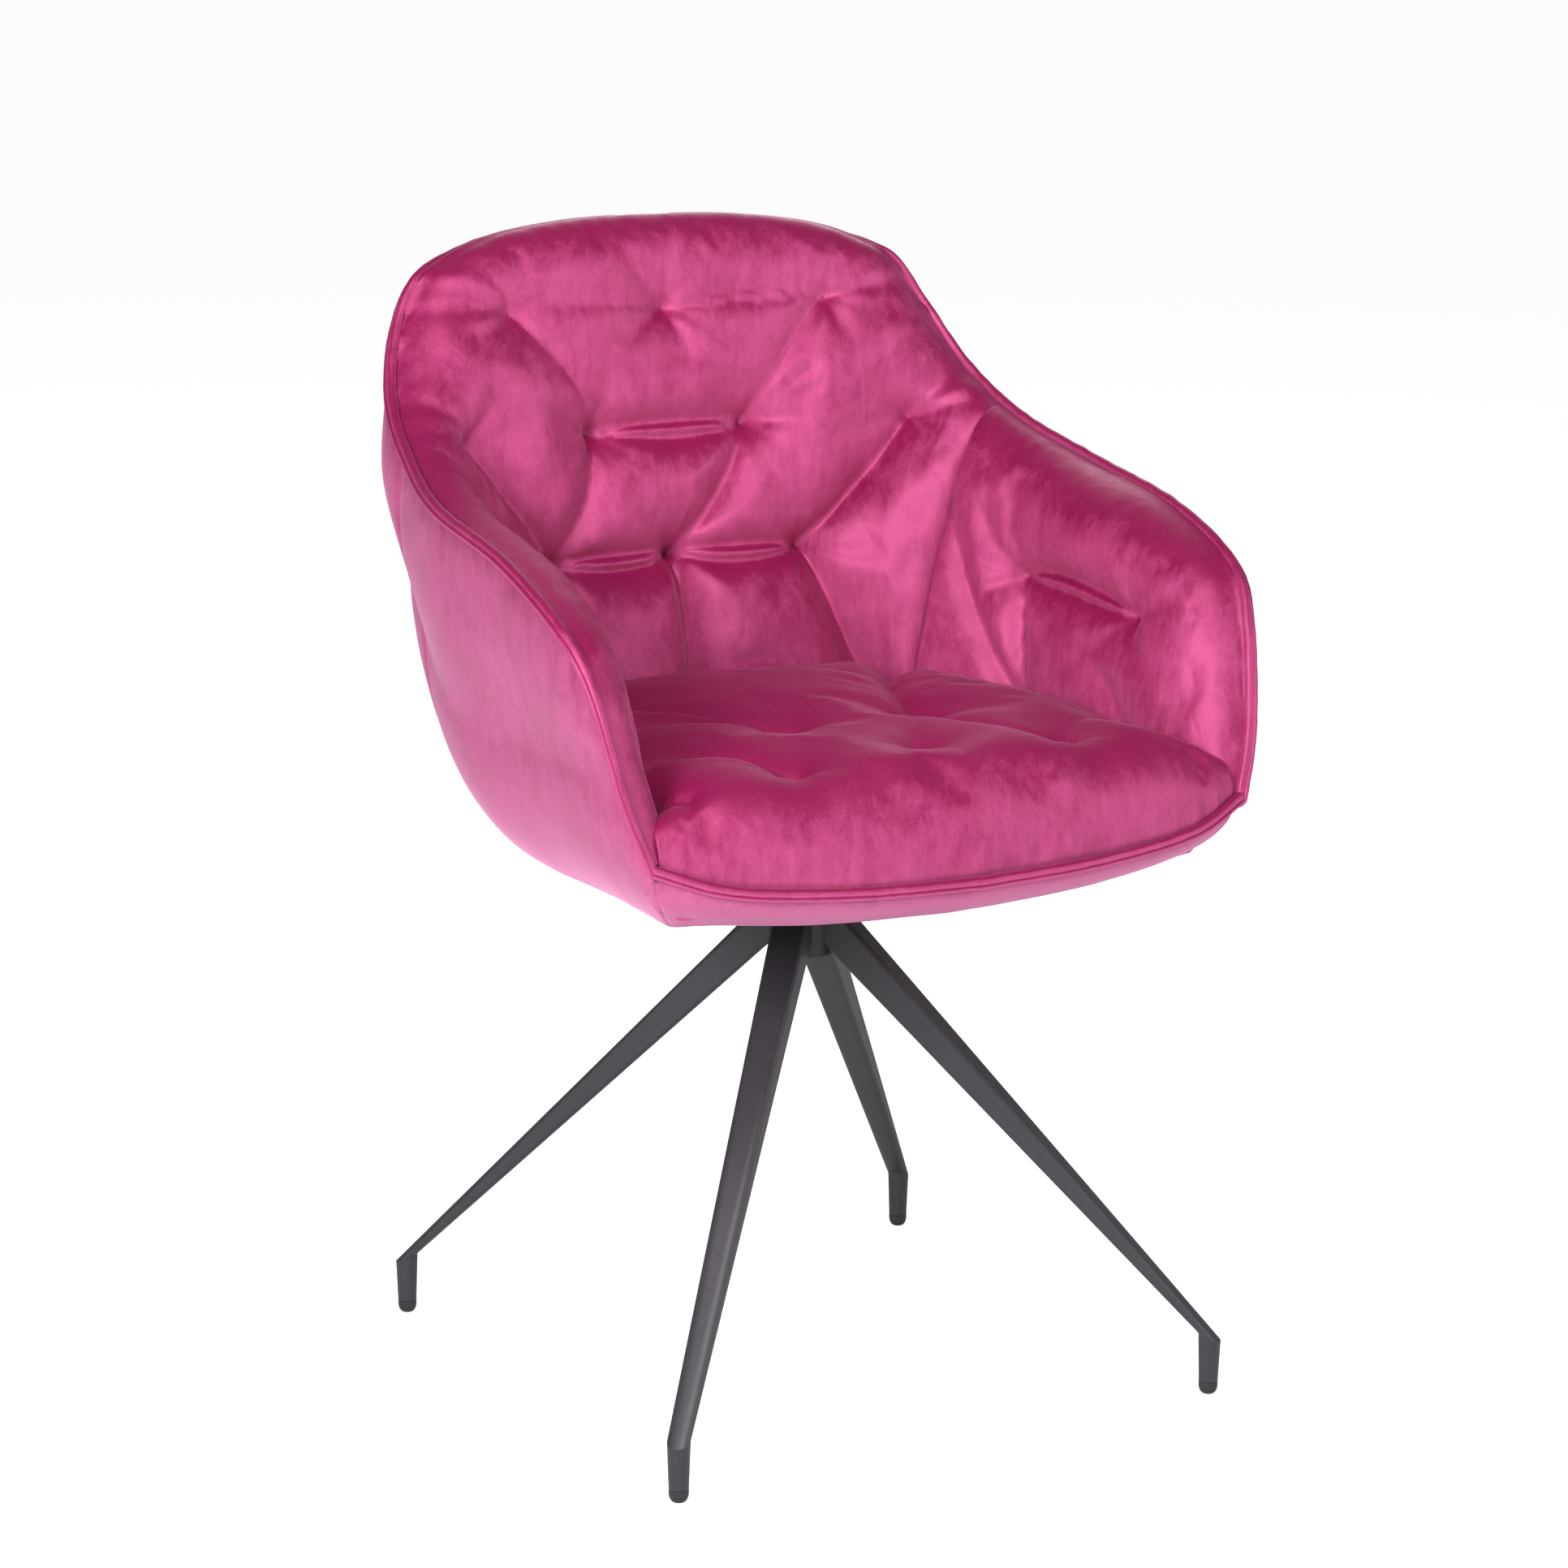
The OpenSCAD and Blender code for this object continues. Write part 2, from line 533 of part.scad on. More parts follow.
leg(-1, -1);  // leg_front_left
leg(1, -1);  // leg_front_right
leg(-1, 1);  // leg_rear_left
leg(1, 1);  // leg_rear_right
glide(-1, -1);  // glide_front_left
glide(1, -1);  // glide_front_right
glide(-1, 1);  // glide_rear_left
glide(1, 1);  // glide_rear_right
hub_tube();
hub_cap();
bush_lower();
bush_upper();
race_lower();
ball_cage();
bearing_balls();
race_upper();
spindle();
retaining_washer();
retaining_bolt();
swivel_plate();
plate_bolts();
plate_washers();
tee_nuts();
seat_board();
dust_cover();
dust_cover_staples();
arm_board_left();
arm_board_right();
back_board();
frame_brackets();
bracket_screws();
outer_arm_left();
outer_arm_right();
outer_back();
front_border();
rim_welt();
seat_welt();
seat_pad();
arm_pad_left();
arm_pad_right();
back_pad();
seat_ties();
arm_ties_left();
arm_ties_right();
back_ties();
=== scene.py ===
"""Velvet swivel tub chair: upholstery, piping, stitches, finishes, floor and lights round its frame."""
import json
import math
import bpy
import numpy as np
from mathutils import Matrix, Vector


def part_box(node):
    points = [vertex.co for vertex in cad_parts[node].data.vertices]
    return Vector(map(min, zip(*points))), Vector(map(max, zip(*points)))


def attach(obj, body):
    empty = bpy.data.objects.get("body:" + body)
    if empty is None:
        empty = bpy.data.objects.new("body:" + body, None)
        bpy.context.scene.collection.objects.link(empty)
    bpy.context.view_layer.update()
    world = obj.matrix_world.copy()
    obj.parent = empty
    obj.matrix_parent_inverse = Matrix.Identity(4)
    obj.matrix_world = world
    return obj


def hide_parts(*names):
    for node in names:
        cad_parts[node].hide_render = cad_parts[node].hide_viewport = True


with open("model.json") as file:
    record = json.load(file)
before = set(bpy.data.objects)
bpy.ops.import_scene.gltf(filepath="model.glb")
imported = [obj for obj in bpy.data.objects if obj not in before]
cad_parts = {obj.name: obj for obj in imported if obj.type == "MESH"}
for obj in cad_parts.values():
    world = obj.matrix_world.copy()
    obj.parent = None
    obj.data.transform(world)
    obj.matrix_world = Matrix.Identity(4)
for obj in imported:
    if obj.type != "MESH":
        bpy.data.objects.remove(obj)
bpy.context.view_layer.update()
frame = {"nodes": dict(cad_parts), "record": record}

MM = 0.001
SEAT_BODY = "seat"

# ---------- the shell's outline, in millimetres, as the frame has it ----------
# Each row: x, y, z of the hem, lean and bulge of the wall under it, width and height of the
# rounded bottom edge, inner face of the padding near the hem (x, y) and at seat level (x, y).
RIM = [
    [245, -219, 459, 0, 0, 150, 69, 226, -203, 236, -212],
    [260, -207, 508, 2, 0, 135, 105, 222, -186, 222, -188],
    [272, -184, 580, 8, 3, 125, 122, 219, -160, 212, -160],
    [281, -150, 620, 14, 6, 120, 126, 218, -130, 208, -120],
    [283, -70, 652, 17, 8, 118, 126, 217, -62, 207, -55],
    [281, 40, 673, 17, 9, 118, 128, 215, 35, 203, 20],
    [266, 120, 697, 14, 11, 130, 160, 206, 100, 180, 88],
    [252, 180, 732, 12, 14, 150, 215, 190, 140, 160, 120],
    [232, 216, 780, 14, 12, 145, 215, 168, 168, 140, 138],
    [205, 231, 820, 19, 9, 115, 160, 145, 186, 112, 146],
    [150, 247, 843, 24, 6, 90, 115, 108, 200, 78, 151],
    [75, 260, 853, 26, 5, 80, 100, 56, 209, 40, 154],
    [0, 264, 855, 26, 5, 80, 100, 0, 212, 0, 155]]
FRONT = [
    [0, -254, 430, 0, 0, 105, 40],
    [100, -247, 432, 0, 0, 118, 42],
    [190, -236, 441, 0, 0, 165, 51],
    [245, -219, 459, 0, 0, 150, 69]]
LAST = len(RIM) - 1
ARM_TOP = 6.25                 # row at which an arm's padding meets the back's, at the hem
ARM_LOW = 6.95                 # the same at seat level
HALF_W, HALF_D = 283, 250      # the rounded square that gives the outward directions
BOARD_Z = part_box("seat_board")[0].z / MM
COVER_T = 4.3                  # thickness that the covers take up under the board
BOTTOM_Z = BOARD_Z - COVER_T   # underside of the covers
SEAT_LINE = 480                # height at which the inner face's lower points are stated

# ---------- tufting: pinches, and the creases and folds that run from them ----------
# Back: x, z. Arms: y, z. Seat: x, y. The third number is the share of the full depth.
BACK_PINCH = [(-113, 790, 0.55), (0, 788, 0.6), (113, 790, 0.55), (-165, 702, 0.8), (-61, 698, 1.0),
              (61, 698, 1.0), (165, 702, 0.85), (-107, 600, 1.0), (0, 601, 1.05), (107, 600, 1.0)]
ARM_PINCH = [(46, 585, 1.0), (-90, 574, 0.85)]
SEAT_PINCH = [(-114, -184, 1.0), (0, -172, 0.7), (114, -184, 0.8), (-56, -75, 0.9), (56, -75, 0.9)]


def catmull(table, u):
    """Rows of a table at fractional row numbers u."""
    table = np.asarray(table, float)
    last = len(table) - 1
    i = np.clip(np.floor(u).astype(int), 0, last - 1)
    t = (u - i)[..., None]
    p1, p2 = table[i], table[i + 1]
    p0 = np.where((i == 0)[..., None], 2 * p1 - p2, table[np.maximum(i - 1, 0)])
    p3 = np.where((i + 2 > last)[..., None], 2 * p2 - p1, table[np.minimum(i + 2, last)])
    return 0.5 * (2 * p1 + (p2 - p0) * t + (2 * p0 - 5 * p1 + 4 * p2 - p3) * t ** 2
                  + (3 * p1 - p0 - 3 * p2 + p3) * t ** 3)


def rim_row(u):
    """Rim rows at u, where negative is the left half and 0 the back's middle."""
    rows = catmull(RIM, LAST - np.abs(u))
    rows[..., [0, 7, 9]] *= np.where(u < 0, -1, 1)[..., None]
    return rows


def front_row(u):
    """Front hem rows at u, where negative is the left half and 0 the middle."""
    rows = catmull(FRONT, np.abs(u))
    rows[..., 0] *= np.where(u < 0, -1, 1)
    return rows


def outward(rows):
    """Horizontal outward direction at each hem row."""
    x, y = rows[..., 0], rows[..., 1]
    d = np.stack([np.sign(x) * np.abs(x / HALF_W) ** 3 / HALF_W,
                  np.sign(y) * np.abs(y / HALF_D) ** 3 / HALF_D, np.zeros_like(x)], -1)
    return d / np.linalg.norm(d, axis=-1, keepdims=True)


def wall_points(rows, z, sink):
    """Points of the outer wall at heights z, sunk below its surface by sink."""
    lean, bulge, wide, high = (rows[..., k] for k in (3, 4, 5, 6))
    centre = BOTTOM_Z + high
    t = np.clip((rows[..., 2] - z) / np.maximum(1, rows[..., 2] - centre), 0, 1)
    s = np.clip((centre - z) / (high - sink), 0, 1)
    upper = bulge * np.sin(np.pi * t) * (1 - t ** 4) - lean * t - sink
    lower = -lean - wide + (wide - sink) * np.sqrt(1 - s ** 2)
    d = np.where(z >= centre, upper, lower)
    p = rows[..., :3] + outward(rows) * d[..., None]
    p[..., 2] = z
    return p


def wave(p, scale, seed):
    """Smooth random field over points p: a few sines of turned directions, about -1 to 1."""
    r = np.random.default_rng(seed)
    total = np.zeros(p.shape[:-1])
    for _ in range(7):
        k = r.normal(size=3)
        k *= 2 * np.pi / (scale * r.uniform(0.7, 1.6)) / np.linalg.norm(k)
        total += np.sin(p @ k + r.uniform(0, 2 * np.pi))
    return total / 3.2


def grid_normals(p):
    """Unit normals of a grid of points, from its own differences."""
    a = np.gradient(p, axis=0)
    b = np.gradient(p, axis=1)
    n = np.cross(a, b)
    return n / np.maximum(np.linalg.norm(n, axis=-1, keepdims=True), 1e-9)


def run_length(p, axis):
    """Distance run along one axis of a grid of points."""
    step = np.linalg.norm(np.diff(p, axis=axis), axis=-1)
    zero = np.zeros_like(np.take(step, [0], axis))
    return np.cumsum(np.concatenate([zero, step], axis), axis)


def mesh_object(name, points, faces, material):
    """A smooth mesh object from points in millimetres."""
    mesh = bpy.data.meshes.new(name)
    mesh.from_pydata((np.asarray(points) * MM).tolist(), [], faces)
    mesh.polygons.foreach_set("use_smooth", [True] * len(mesh.polygons))
    mesh.materials.append(material)
    mesh.update()
    obj = bpy.data.objects.new(name, mesh)
    bpy.context.scene.collection.objects.link(obj)
    return obj


def volume(points, faces):
    """Signed volume of a closed mesh of quads, positive when its faces point outwards."""
    q = np.asarray(points)[np.asarray(faces)]
    a, b, c, d = q[:, 0], q[:, 1], q[:, 2], q[:, 3]
    return (np.einsum("ij,ij->i", a, np.cross(b, c)) + np.einsum("ij,ij->i", a, np.cross(c, d))).sum() / 6


def slab_mesh(name, face, back, material):
    """A closed solid between two grids of the same shape."""
    n, m = face.shape[:2]
    index = np.arange(n * m).reshape(n, m)
    quads = np.stack([index[:-1, :-1], index[:-1, 1:], index[1:, 1:], index[1:, :-1]], -1).reshape(-1, 4)
    edge = np.concatenate([index[0, :-1], index[:-1, -1], index[-1, :0:-1], index[:0:-1, 0]])
    after = np.roll(edge, -1)
    rim = np.stack([edge, edge + n * m, after + n * m, after], -1)
    faces = np.concatenate([quads, quads[:, ::-1] + n * m, rim])
    points = np.concatenate([face.reshape(-1, 3), back.reshape(-1, 3)])
    if volume(points, faces) < 0:
        faces = faces[:, ::-1]
    return mesh_object(name, points, faces.tolist(), material)


def smooth_once(obj):
    """One level of subdivision surface."""
    mod = obj.modifiers.new("smooth", "SUBSURF")
    mod.levels = 1
    mod.render_levels = 1


def finish_piece(obj, slot, *nodes, body=SEAT_BODY):
    """The piece rides on its body and stands for its CAD nodes, which it hides; slot is not used."""
    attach(obj, body)
    if nodes:
        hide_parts(*nodes)
    return obj


# ---------- materials ----------
def new_group(name, inputs, outputs):
    """An empty shader node group; inputs and outputs are (name, socket type, default)."""
    group = bpy.data.node_groups.new(name, "ShaderNodeTree")
    for sockets, side in ((inputs, "INPUT"), (outputs, "OUTPUT")):
        for label, kind, value in sockets:
            socket = group.interface.new_socket(name=label, in_out=side, socket_type=kind)
            if value is not None:
                socket.default_value = value
    return group, group.nodes.new("NodeGroupInput"), group.nodes.new("NodeGroupOutput")


def node(tree, kind, links=(), **values):
    """A node with its properties and unlinked inputs set, and links as {input: socket}."""
    made = tree.nodes.new(kind)
    for key, value in values.items():
        if hasattr(made, key):
            setattr(made, key, value)
    for key, value in dict(links).items():
        if isinstance(value, bpy.types.NodeSocket):
            tree.links.new(value, made.inputs[key])
        else:
            made.inputs[key].default_value = value
    return made


def velvet_group():
    """Short pile: patches where the nap lies over, faint brush streaks and the grain of the pile, and painted
    shade that draws surfaces facing up towards the deep colour and those facing down towards the light one.
    """
    group, enter, leave = new_group(
        "velvet_pile_painted_shade",
        [("Deep", "NodeSocketColor", (0.3, 0.01, 0.1, 1)), ("Light", "NodeSocketColor", (0.6, 0.08, 0.25, 1)),
         ("Nap", "NodeSocketFloat", 0.5), ("Upward painted shade", "NodeSocketFloat", 0.5),
         ("Base roughness", "NodeSocketFloat", 0.4)],
        [("Color", "NodeSocketColor", None), ("Roughness", "NodeSocketFloat", None),
         ("Height", "NodeSocketFloat", None)])
    coords = group.nodes.new("ShaderNodeTexCoord")
    place = coords.outputs["Object"]
    facing = node(group, "ShaderNodeSeparateXYZ", {0: coords.outputs["Normal"]})
    # painted shade: the normal's upward part, times its weight, pushes the colour towards the deep one
    up_painted_shade = node(group, "ShaderNodeMath", {0: facing.outputs["Z"], 1: enter.outputs["Upward painted shade"]},
                 operation="MULTIPLY")
    stretch = node(group, "ShaderNodeMapping", {"Vector": place, "Scale": (1.0, 1.0, 0.28)})
    patches = node(group, "ShaderNodeTexNoise",
                   {"Vector": place, "Scale": 17.0, "Detail": 5.0, "Roughness": 0.62, "Distortion": 1.1})
    streaks = node(group, "ShaderNodeTexNoise",
                   {"Vector": stretch.outputs[0], "Scale": 120.0, "Detail": 4.0, "Roughness": 0.65,
                    "Distortion": 0.6})
    pile = node(group, "ShaderNodeTexNoise",
                {"Vector": place, "Scale": 1500.0, "Detail": 2.0, "Roughness": 0.6})
    tufts = node(group, "ShaderNodeTexNoise",
                 {"Vector": place, "Scale": 420.0, "Detail": 3.0, "Roughness": 0.7})
    both = node(group, "ShaderNodeMath",
                {0: patches.outputs["Fac"], 1: streaks.outputs["Fac"]}, operation="ADD")
    lay = node(group, "ShaderNodeMapRange",
               {"Value": both.outputs[0], "From Min": 0.72, "From Max": 1.30, "To Min": 0.0, "To Max": 1.0})
    around = node(group, "ShaderNodeMath", {0: lay.outputs[0], 1: 0.5}, operation="SUBTRACT")
    share = node(group, "ShaderNodeMath", {0: around.outputs[0], 1: enter.outputs["Nap"], 2: 0.5},
                 operation="MULTIPLY_ADD")
    grain = node(group, "ShaderNodeMapRange",
                 {"Value": pile.outputs["Fac"], "From Min": 0.3, "From Max": 0.7,
                  "To Min": -0.12, "To Max": 0.12})
    # painted shade taken off the nap share, so surfaces facing up go deep
    share_after_shade = node(group, "ShaderNodeMath", {0: share.outputs[0], 1: up_painted_shade.outputs[0]}, operation="SUBTRACT")
    mixed = node(group, "ShaderNodeMath", {0: share_after_shade.outputs[0], 1: grain.outputs[0]}, operation="ADD",
                 use_clamp=True)
    colour = node(group, "ShaderNodeMix", {"Factor": mixed.outputs[0]}, data_type="RGBA")
    group.links.new(enter.outputs["Deep"], colour.inputs["A"])
    group.links.new(enter.outputs["Light"], colour.inputs["B"])
    rough = node(group, "ShaderNodeMath", {0: lay.outputs[0], 1: 0.16}, operation="MULTIPLY")
    rough_out = node(group, "ShaderNodeMath",
                     {0: rough.outputs[0], 1: enter.outputs["Base roughness"]}, operation="ADD")
    fine = node(group, "ShaderNodeMath", {0: pile.outputs["Fac"], 1: 0.35}, operation="MULTIPLY")
    middle = node(group, "ShaderNodeMath", {0: tufts.outputs["Fac"], 1: 0.5}, operation="MULTIPLY")
    soft = node(group, "ShaderNodeMath", {0: streaks.outputs["Fac"], 1: 0.35}, operation="MULTIPLY")
    sum_a = node(group, "ShaderNodeMath", {0: fine.outputs[0], 1: middle.outputs[0]}, operation="ADD")
    sum_b = node(group, "ShaderNodeMath", {0: sum_a.outputs[0], 1: soft.outputs[0]}, operation="ADD")
    group.links.new(colour.outputs["Result"], leave.inputs["Color"])
    group.links.new(rough_out.outputs[0], leave.inputs["Roughness"])
    group.links.new(sum_b.outputs[0], leave.inputs["Height"])
    return group


def grain_group():
    """Fine grain for paint, plastic, cloth and wood: a colour mask, a roughness and a height."""
    group, enter, leave = new_group(
        "surface_grain",
        [("Scale", "NodeSocketFloat", 800.0), ("Stretch", "NodeSocketVector", (1, 1, 1)),
         ("Base roughness", "NodeSocketFloat", 0.5), ("Spread", "NodeSocketFloat", 0.1)],
        [("Mask", "NodeSocketFloat", None), ("Roughness", "NodeSocketFloat", None),
         ("Height", "NodeSocketFloat", None)])
    place = group.nodes.new("ShaderNodeTexCoord").outputs["Object"]
    turned = node(group, "ShaderNodeMapping", {"Vector": place, "Scale": enter.outputs["Stretch"]})
    fine = node(group, "ShaderNodeTexNoise",
                {"Vector": turned.outputs[0], "Scale": enter.outputs["Scale"], "Detail": 3.0,
                 "Roughness": 0.6})
    broad = node(group, "ShaderNodeTexNoise",
                 {"Vector": place, "Scale": 28.0, "Detail": 4.0, "Roughness": 0.6})
    part = node(group, "ShaderNodeMath",
                {0: broad.outputs["Fac"], 1: enter.outputs["Spread"]}, operation="MULTIPLY")
    rough = node(group, "ShaderNodeMath",
                 {0: part.outputs[0], 1: enter.outputs["Base roughness"]}, operation="ADD")
    group.links.new(broad.outputs["Fac"], leave.inputs["Mask"])
    group.links.new(rough.outputs[0], leave.inputs["Roughness"])
    group.links.new(fine.outputs["Fac"], leave.inputs["Height"])
    return group


PILE_WITH_PAINTED_SHADE = velvet_group()
GRAIN = grain_group()


def blank_material(name):
    """A new material with its Principled shader and output."""
    material = bpy.data.materials.new(name)
    material.use_nodes = True
    shader = material.node_tree.nodes["Principled BSDF"]
    return material, material.node_tree, shader


def velvet(name, deep, light, nap=0.34, roughness=0.43, sheen=0.12, satin=0.24):
    """Short-pile velvet: deep in its darker nap patches and, as painted shade, on surfaces that face up;
    paler elsewhere, with sheen and a satin gloss.
    """
    material, tree, shader = blank_material(name)
    pile = tree.nodes.new("ShaderNodeGroup")
    pile.node_tree = PILE_WITH_PAINTED_SHADE
    pile.inputs["Deep"].default_value = (*deep, 1)
    pile.inputs["Light"].default_value = (*light, 1)
    pile.inputs["Nap"].default_value = nap
    # painted shade: weight with which surfaces facing up are drawn to the deep colour
    pile.inputs["Upward painted shade"].default_value = 0.75
    pile.inputs["Base roughness"].default_value = roughness
    bump = node(tree, "ShaderNodeBump",
                {"Height": pile.outputs["Height"], "Strength": 0.30, "Distance": 0.0006})
    tree.links.new(pile.outputs["Color"], shader.inputs["Base Color"])
    tree.links.new(pile.outputs["Roughness"], shader.inputs["Roughness"])
    tree.links.new(bump.outputs[0], shader.inputs["Normal"])
    shader.inputs["Sheen Weight"].default_value = sheen
    shader.inputs["Sheen Roughness"].default_value = 0.35
    shader.inputs["Sheen Tint"].default_value = (1.0, 0.52, 0.80, 1)
    shader.inputs["Metallic"].default_value = satin
    shader.inputs["IOR"].default_value = 1.45
    shader.inputs["Specular IOR Level"].default_value = 0.55
    shader.inputs["Specular Tint"].default_value = (1.0, 0.58, 0.82, 1)
    return material


def plain(name, colour, roughness, metallic=0.0, scale=900.0, spread=0.12, bump=0.1, shade=0.82,
          stretch=(1, 1, 1), distance=0.0003):
    """A paint, plastic, metal, wood or cloth finish with its own grain."""
    material, tree, shader = blank_material(name)
    grain = tree.nodes.new("ShaderNodeGroup")
    grain.node_tree = GRAIN
    grain.inputs["Scale"].default_value = scale
    grain.inputs["Stretch"].default_value = stretch
    grain.inputs["Base roughness"].default_value = roughness
    grain.inputs["Spread"].default_value = spread
    mix = node(tree, "ShaderNodeMix", {"Factor": grain.outputs["Mask"]}, data_type="RGBA")
    mix.inputs["A"].default_value = (*[c * shade for c in colour], 1)
    mix.inputs["B"].default_value = (*[min(1, c / shade) for c in colour], 1)
    relief = node(tree, "ShaderNodeBump",
                  {"Height": grain.outputs["Height"], "Strength": bump, "Distance": distance})
    tree.links.new(mix.outputs["Result"], shader.inputs["Base Color"])
    tree.links.new(grain.outputs["Roughness"], shader.inputs["Roughness"])
    tree.links.new(relief.outputs[0], shader.inputs["Normal"])
    shader.inputs["Metallic"].default_value = metallic
    return material


# Velvet colours: deep, towards which darker nap patches and the painted shade on surfaces facing up draw the
# pile, and light; the outer covers take a lighter copy of the light colour, painted light for the light that
# falls on them
DEEP = (0.200, 0.0035, 0.052)
LIGHT = (0.59, 0.098, 0.265)
# painted light: the same velvet as the pads, its light colour made lighter for the brighter lit outer covers
OUTER_PAINTED_LIGHTER = (0.59, 0.125, 0.295)
PAD_VELVET = velvet("pad_velvet", DEEP, LIGHT)
COVER_VELVET = velvet("cover_velvet", DEEP, OUTER_PAINTED_LIGHTER, nap=0.35, roughness=0.42, sheen=0.46, satin=0.16)
WELT_VELVET = velvet("welt_velvet", DEEP, LIGHT, nap=0.2, roughness=0.40, sheen=0.25)
TWINE = plain("tuft_twine", (0.22, 0.008, 0.07), 0.7, scale=2500, bump=0.5)
FINISHES = {
    "base_powder_coat": plain("base_powder_coat", (0.026, 0.023, 0.030), 0.42, scale=1400, spread=0.10,
                              bump=0.12, shade=0.88),
    "glide_plastic": plain("glide_plastic", (0.016, 0.016, 0.019), 0.5, scale=2200, bump=0.2),
    "cap_plastic": plain("cap_plastic", (0.025, 0.025, 0.028), 0.5, scale=2200, bump=0.2),
    "bush_nylon": plain("bush_nylon", (0.72, 0.70, 0.64), 0.45, scale=1500, bump=0.1),
    "bearing_steel": plain("bearing_steel", (0.62, 0.62, 0.64), 0.24, metallic=1.0, scale=2600, bump=0.08,
                           stretch=(1, 1, 0.05)),
    "zinc_hardware": plain("zinc_hardware", (0.58, 0.59, 0.62), 0.34, metallic=1.0, scale=1500, bump=0.15),
    "black_hardware": plain("black_hardware", (0.03, 0.03, 0.034), 0.4, metallic=0.6, scale=1600, bump=0.12),
    "cage_brass": plain("cage_brass", (0.68, 0.48, 0.20), 0.32, metallic=1.0, scale=1500, bump=0.1),
    "plate_steel": plain("plate_steel", (0.035, 0.035, 0.040), 0.46, scale=1300, bump=0.15),
    "seat_plywood": plain("seat_plywood", (0.56, 0.38, 0.20), 0.62, scale=260, bump=0.3,
                          stretch=(0.08, 1, 3)),
    "shell_plywood": plain("shell_plywood", (0.58, 0.40, 0.22), 0.62, scale=260, bump=0.3,
                           stretch=(3, 3, 0.08)),
}
DUST_CLOTH = plain("dust_cloth", (0.012, 0.012, 0.013), 0.85, scale=1800, bump=0.7, distance=0.0005)

for entry in frame["record"]["subparts"]:
    cad = frame["nodes"].get(entry["node"])
    if cad and entry["material_slot"] in FINISHES:
        cad.data.materials.clear()
        cad.data.materials.append(FINISHES[entry["material_slot"]])


# ---------- outer covers ----------
COVER_ROWS = 46
COVER_TOP = 3.0                # the covers start this far below the hem
COVER_END = math.radians(86)   # turn under at this angle round the bottom edge
TUCK_UNDER = np.linspace(0.975, 0.80, 7)   # and run in under the board, as shares of the distance to the axis
TUCK_LIFT = 0.35               # the tucked ends lie this far above the covers' underside
COVER_PLY = 3.4                # thickness of a cover with its wadding
UNDER_BLEND = 12               # the covers lie flat over this last height above the underside
SHELL_CENTRE = np.array([0.0, 0.0, 520.0])   # a point inside the shell, from which every cover faces away


def cover_heights(rows):
    """Evenly spaced heights down each column of a cover: the wall, then round the bottom edge."""
    high = rows[:, 6:7]
    centre = BOTTOM_Z + high
    z_top = rows[:, 2:3] - COVER_TOP
    z_arc = np.minimum(z_top, centre)
    start = np.arcsin(np.clip((centre - z_arc) / high, 0, 1))
    wall = z_top - z_arc
    arc = (COVER_END - start) * (high + rows[:, 5:6]) / 2
    run = (wall + arc) * np.linspace(0, 1, COVER_ROWS)[None]
    angle = start + (COVER_END - start) * np.clip((run - wall) / arc, 0, 1)
    return np.where(run < wall, z_top - run, centre - high * np.sin(angle))


def cover_panel(name, us, row_at, seed):
    """One outer cover: a stretched, lightly wadded panel whose ends roll into their seams."""
    rows = row_at(us)
    z = cover_heights(rows)
    grid = wall_points(np.repeat(rows[:, None], z.shape[1], 1), z, 0.0)
    tucked = grid[:, -1:] * TUCK_UNDER[None, :, None]
    tucked[..., 2] = BOTTOM_Z + TUCK_LIFT
    grid = np.concatenate([grid, tucked], 1)
    out = grid_normals(grid)
    out = out * np.sign(np.einsum("ijk,ijk->ij", out, grid - SHELL_CENTRE))[..., None]
    along = run_length(grid, 0)
    down = run_length(grid, 1)
    end = np.minimum(along, along[-1:] - along)
    lift = 0.7 * wave(grid, 190, seed) + 0.2 * wave(grid, 55, seed + 1)
    lift += 0.8 * wave(np.stack([along * 3.2, down * 0.35, 0 * down], -1), 46, seed + 2) * np.exp(-down / 16)
    lift += 0.5 * wave(np.stack([down * 3.0, along * 0.4, 0 * down], -1), 50, seed + 3) * np.exp(-end / 12)
    lift -= 2.6 * np.exp(-end / 2.6) + 1.2 * np.exp(-down / 3.0)
    face = grid + out * (lift[..., None] - 0.2)
    under = np.clip((grid[..., 2:] - BOTTOM_Z) / UNDER_BLEND, 0, 1)
    face = np.where(under < 1, grid + (face - grid) * under, face)
    back = grid - out * COVER_PLY * under + [0, 0, COVER_PLY] * (1 - under)
    return slab_mesh(name, face, back, COVER_VELVET)


SEAM_U = LAST - ARM_TOP        # rim position of the seams between the arms and the back
COVER_LAP = 0.014              # how far the covers run past each other there, in rim rows
arm_span = np.linspace(-LAST + 0.01, -SEAM_U + COVER_LAP, 74)
COVERS = {
    "outer_arm_left": cover_panel("outer_arm_cover_left", arm_span, rim_row, 11),
    "outer_arm_right": cover_panel("outer_arm_cover_right", -arm_span[::-1], rim_row, 21),
    "outer_back": cover_panel("outer_back_cover", np.linspace(-SEAM_U - COVER_LAP, SEAM_U + COVER_LAP, 150),
                              rim_row, 31),
    "front_border": cover_panel("front_border_band", np.linspace(-2.99, 2.99, 110), front_row, 41),
}
for cad_name, piece in COVERS.items():
    smooth_once(piece)
    finish_piece(piece, "cover_velvet", cad_name)


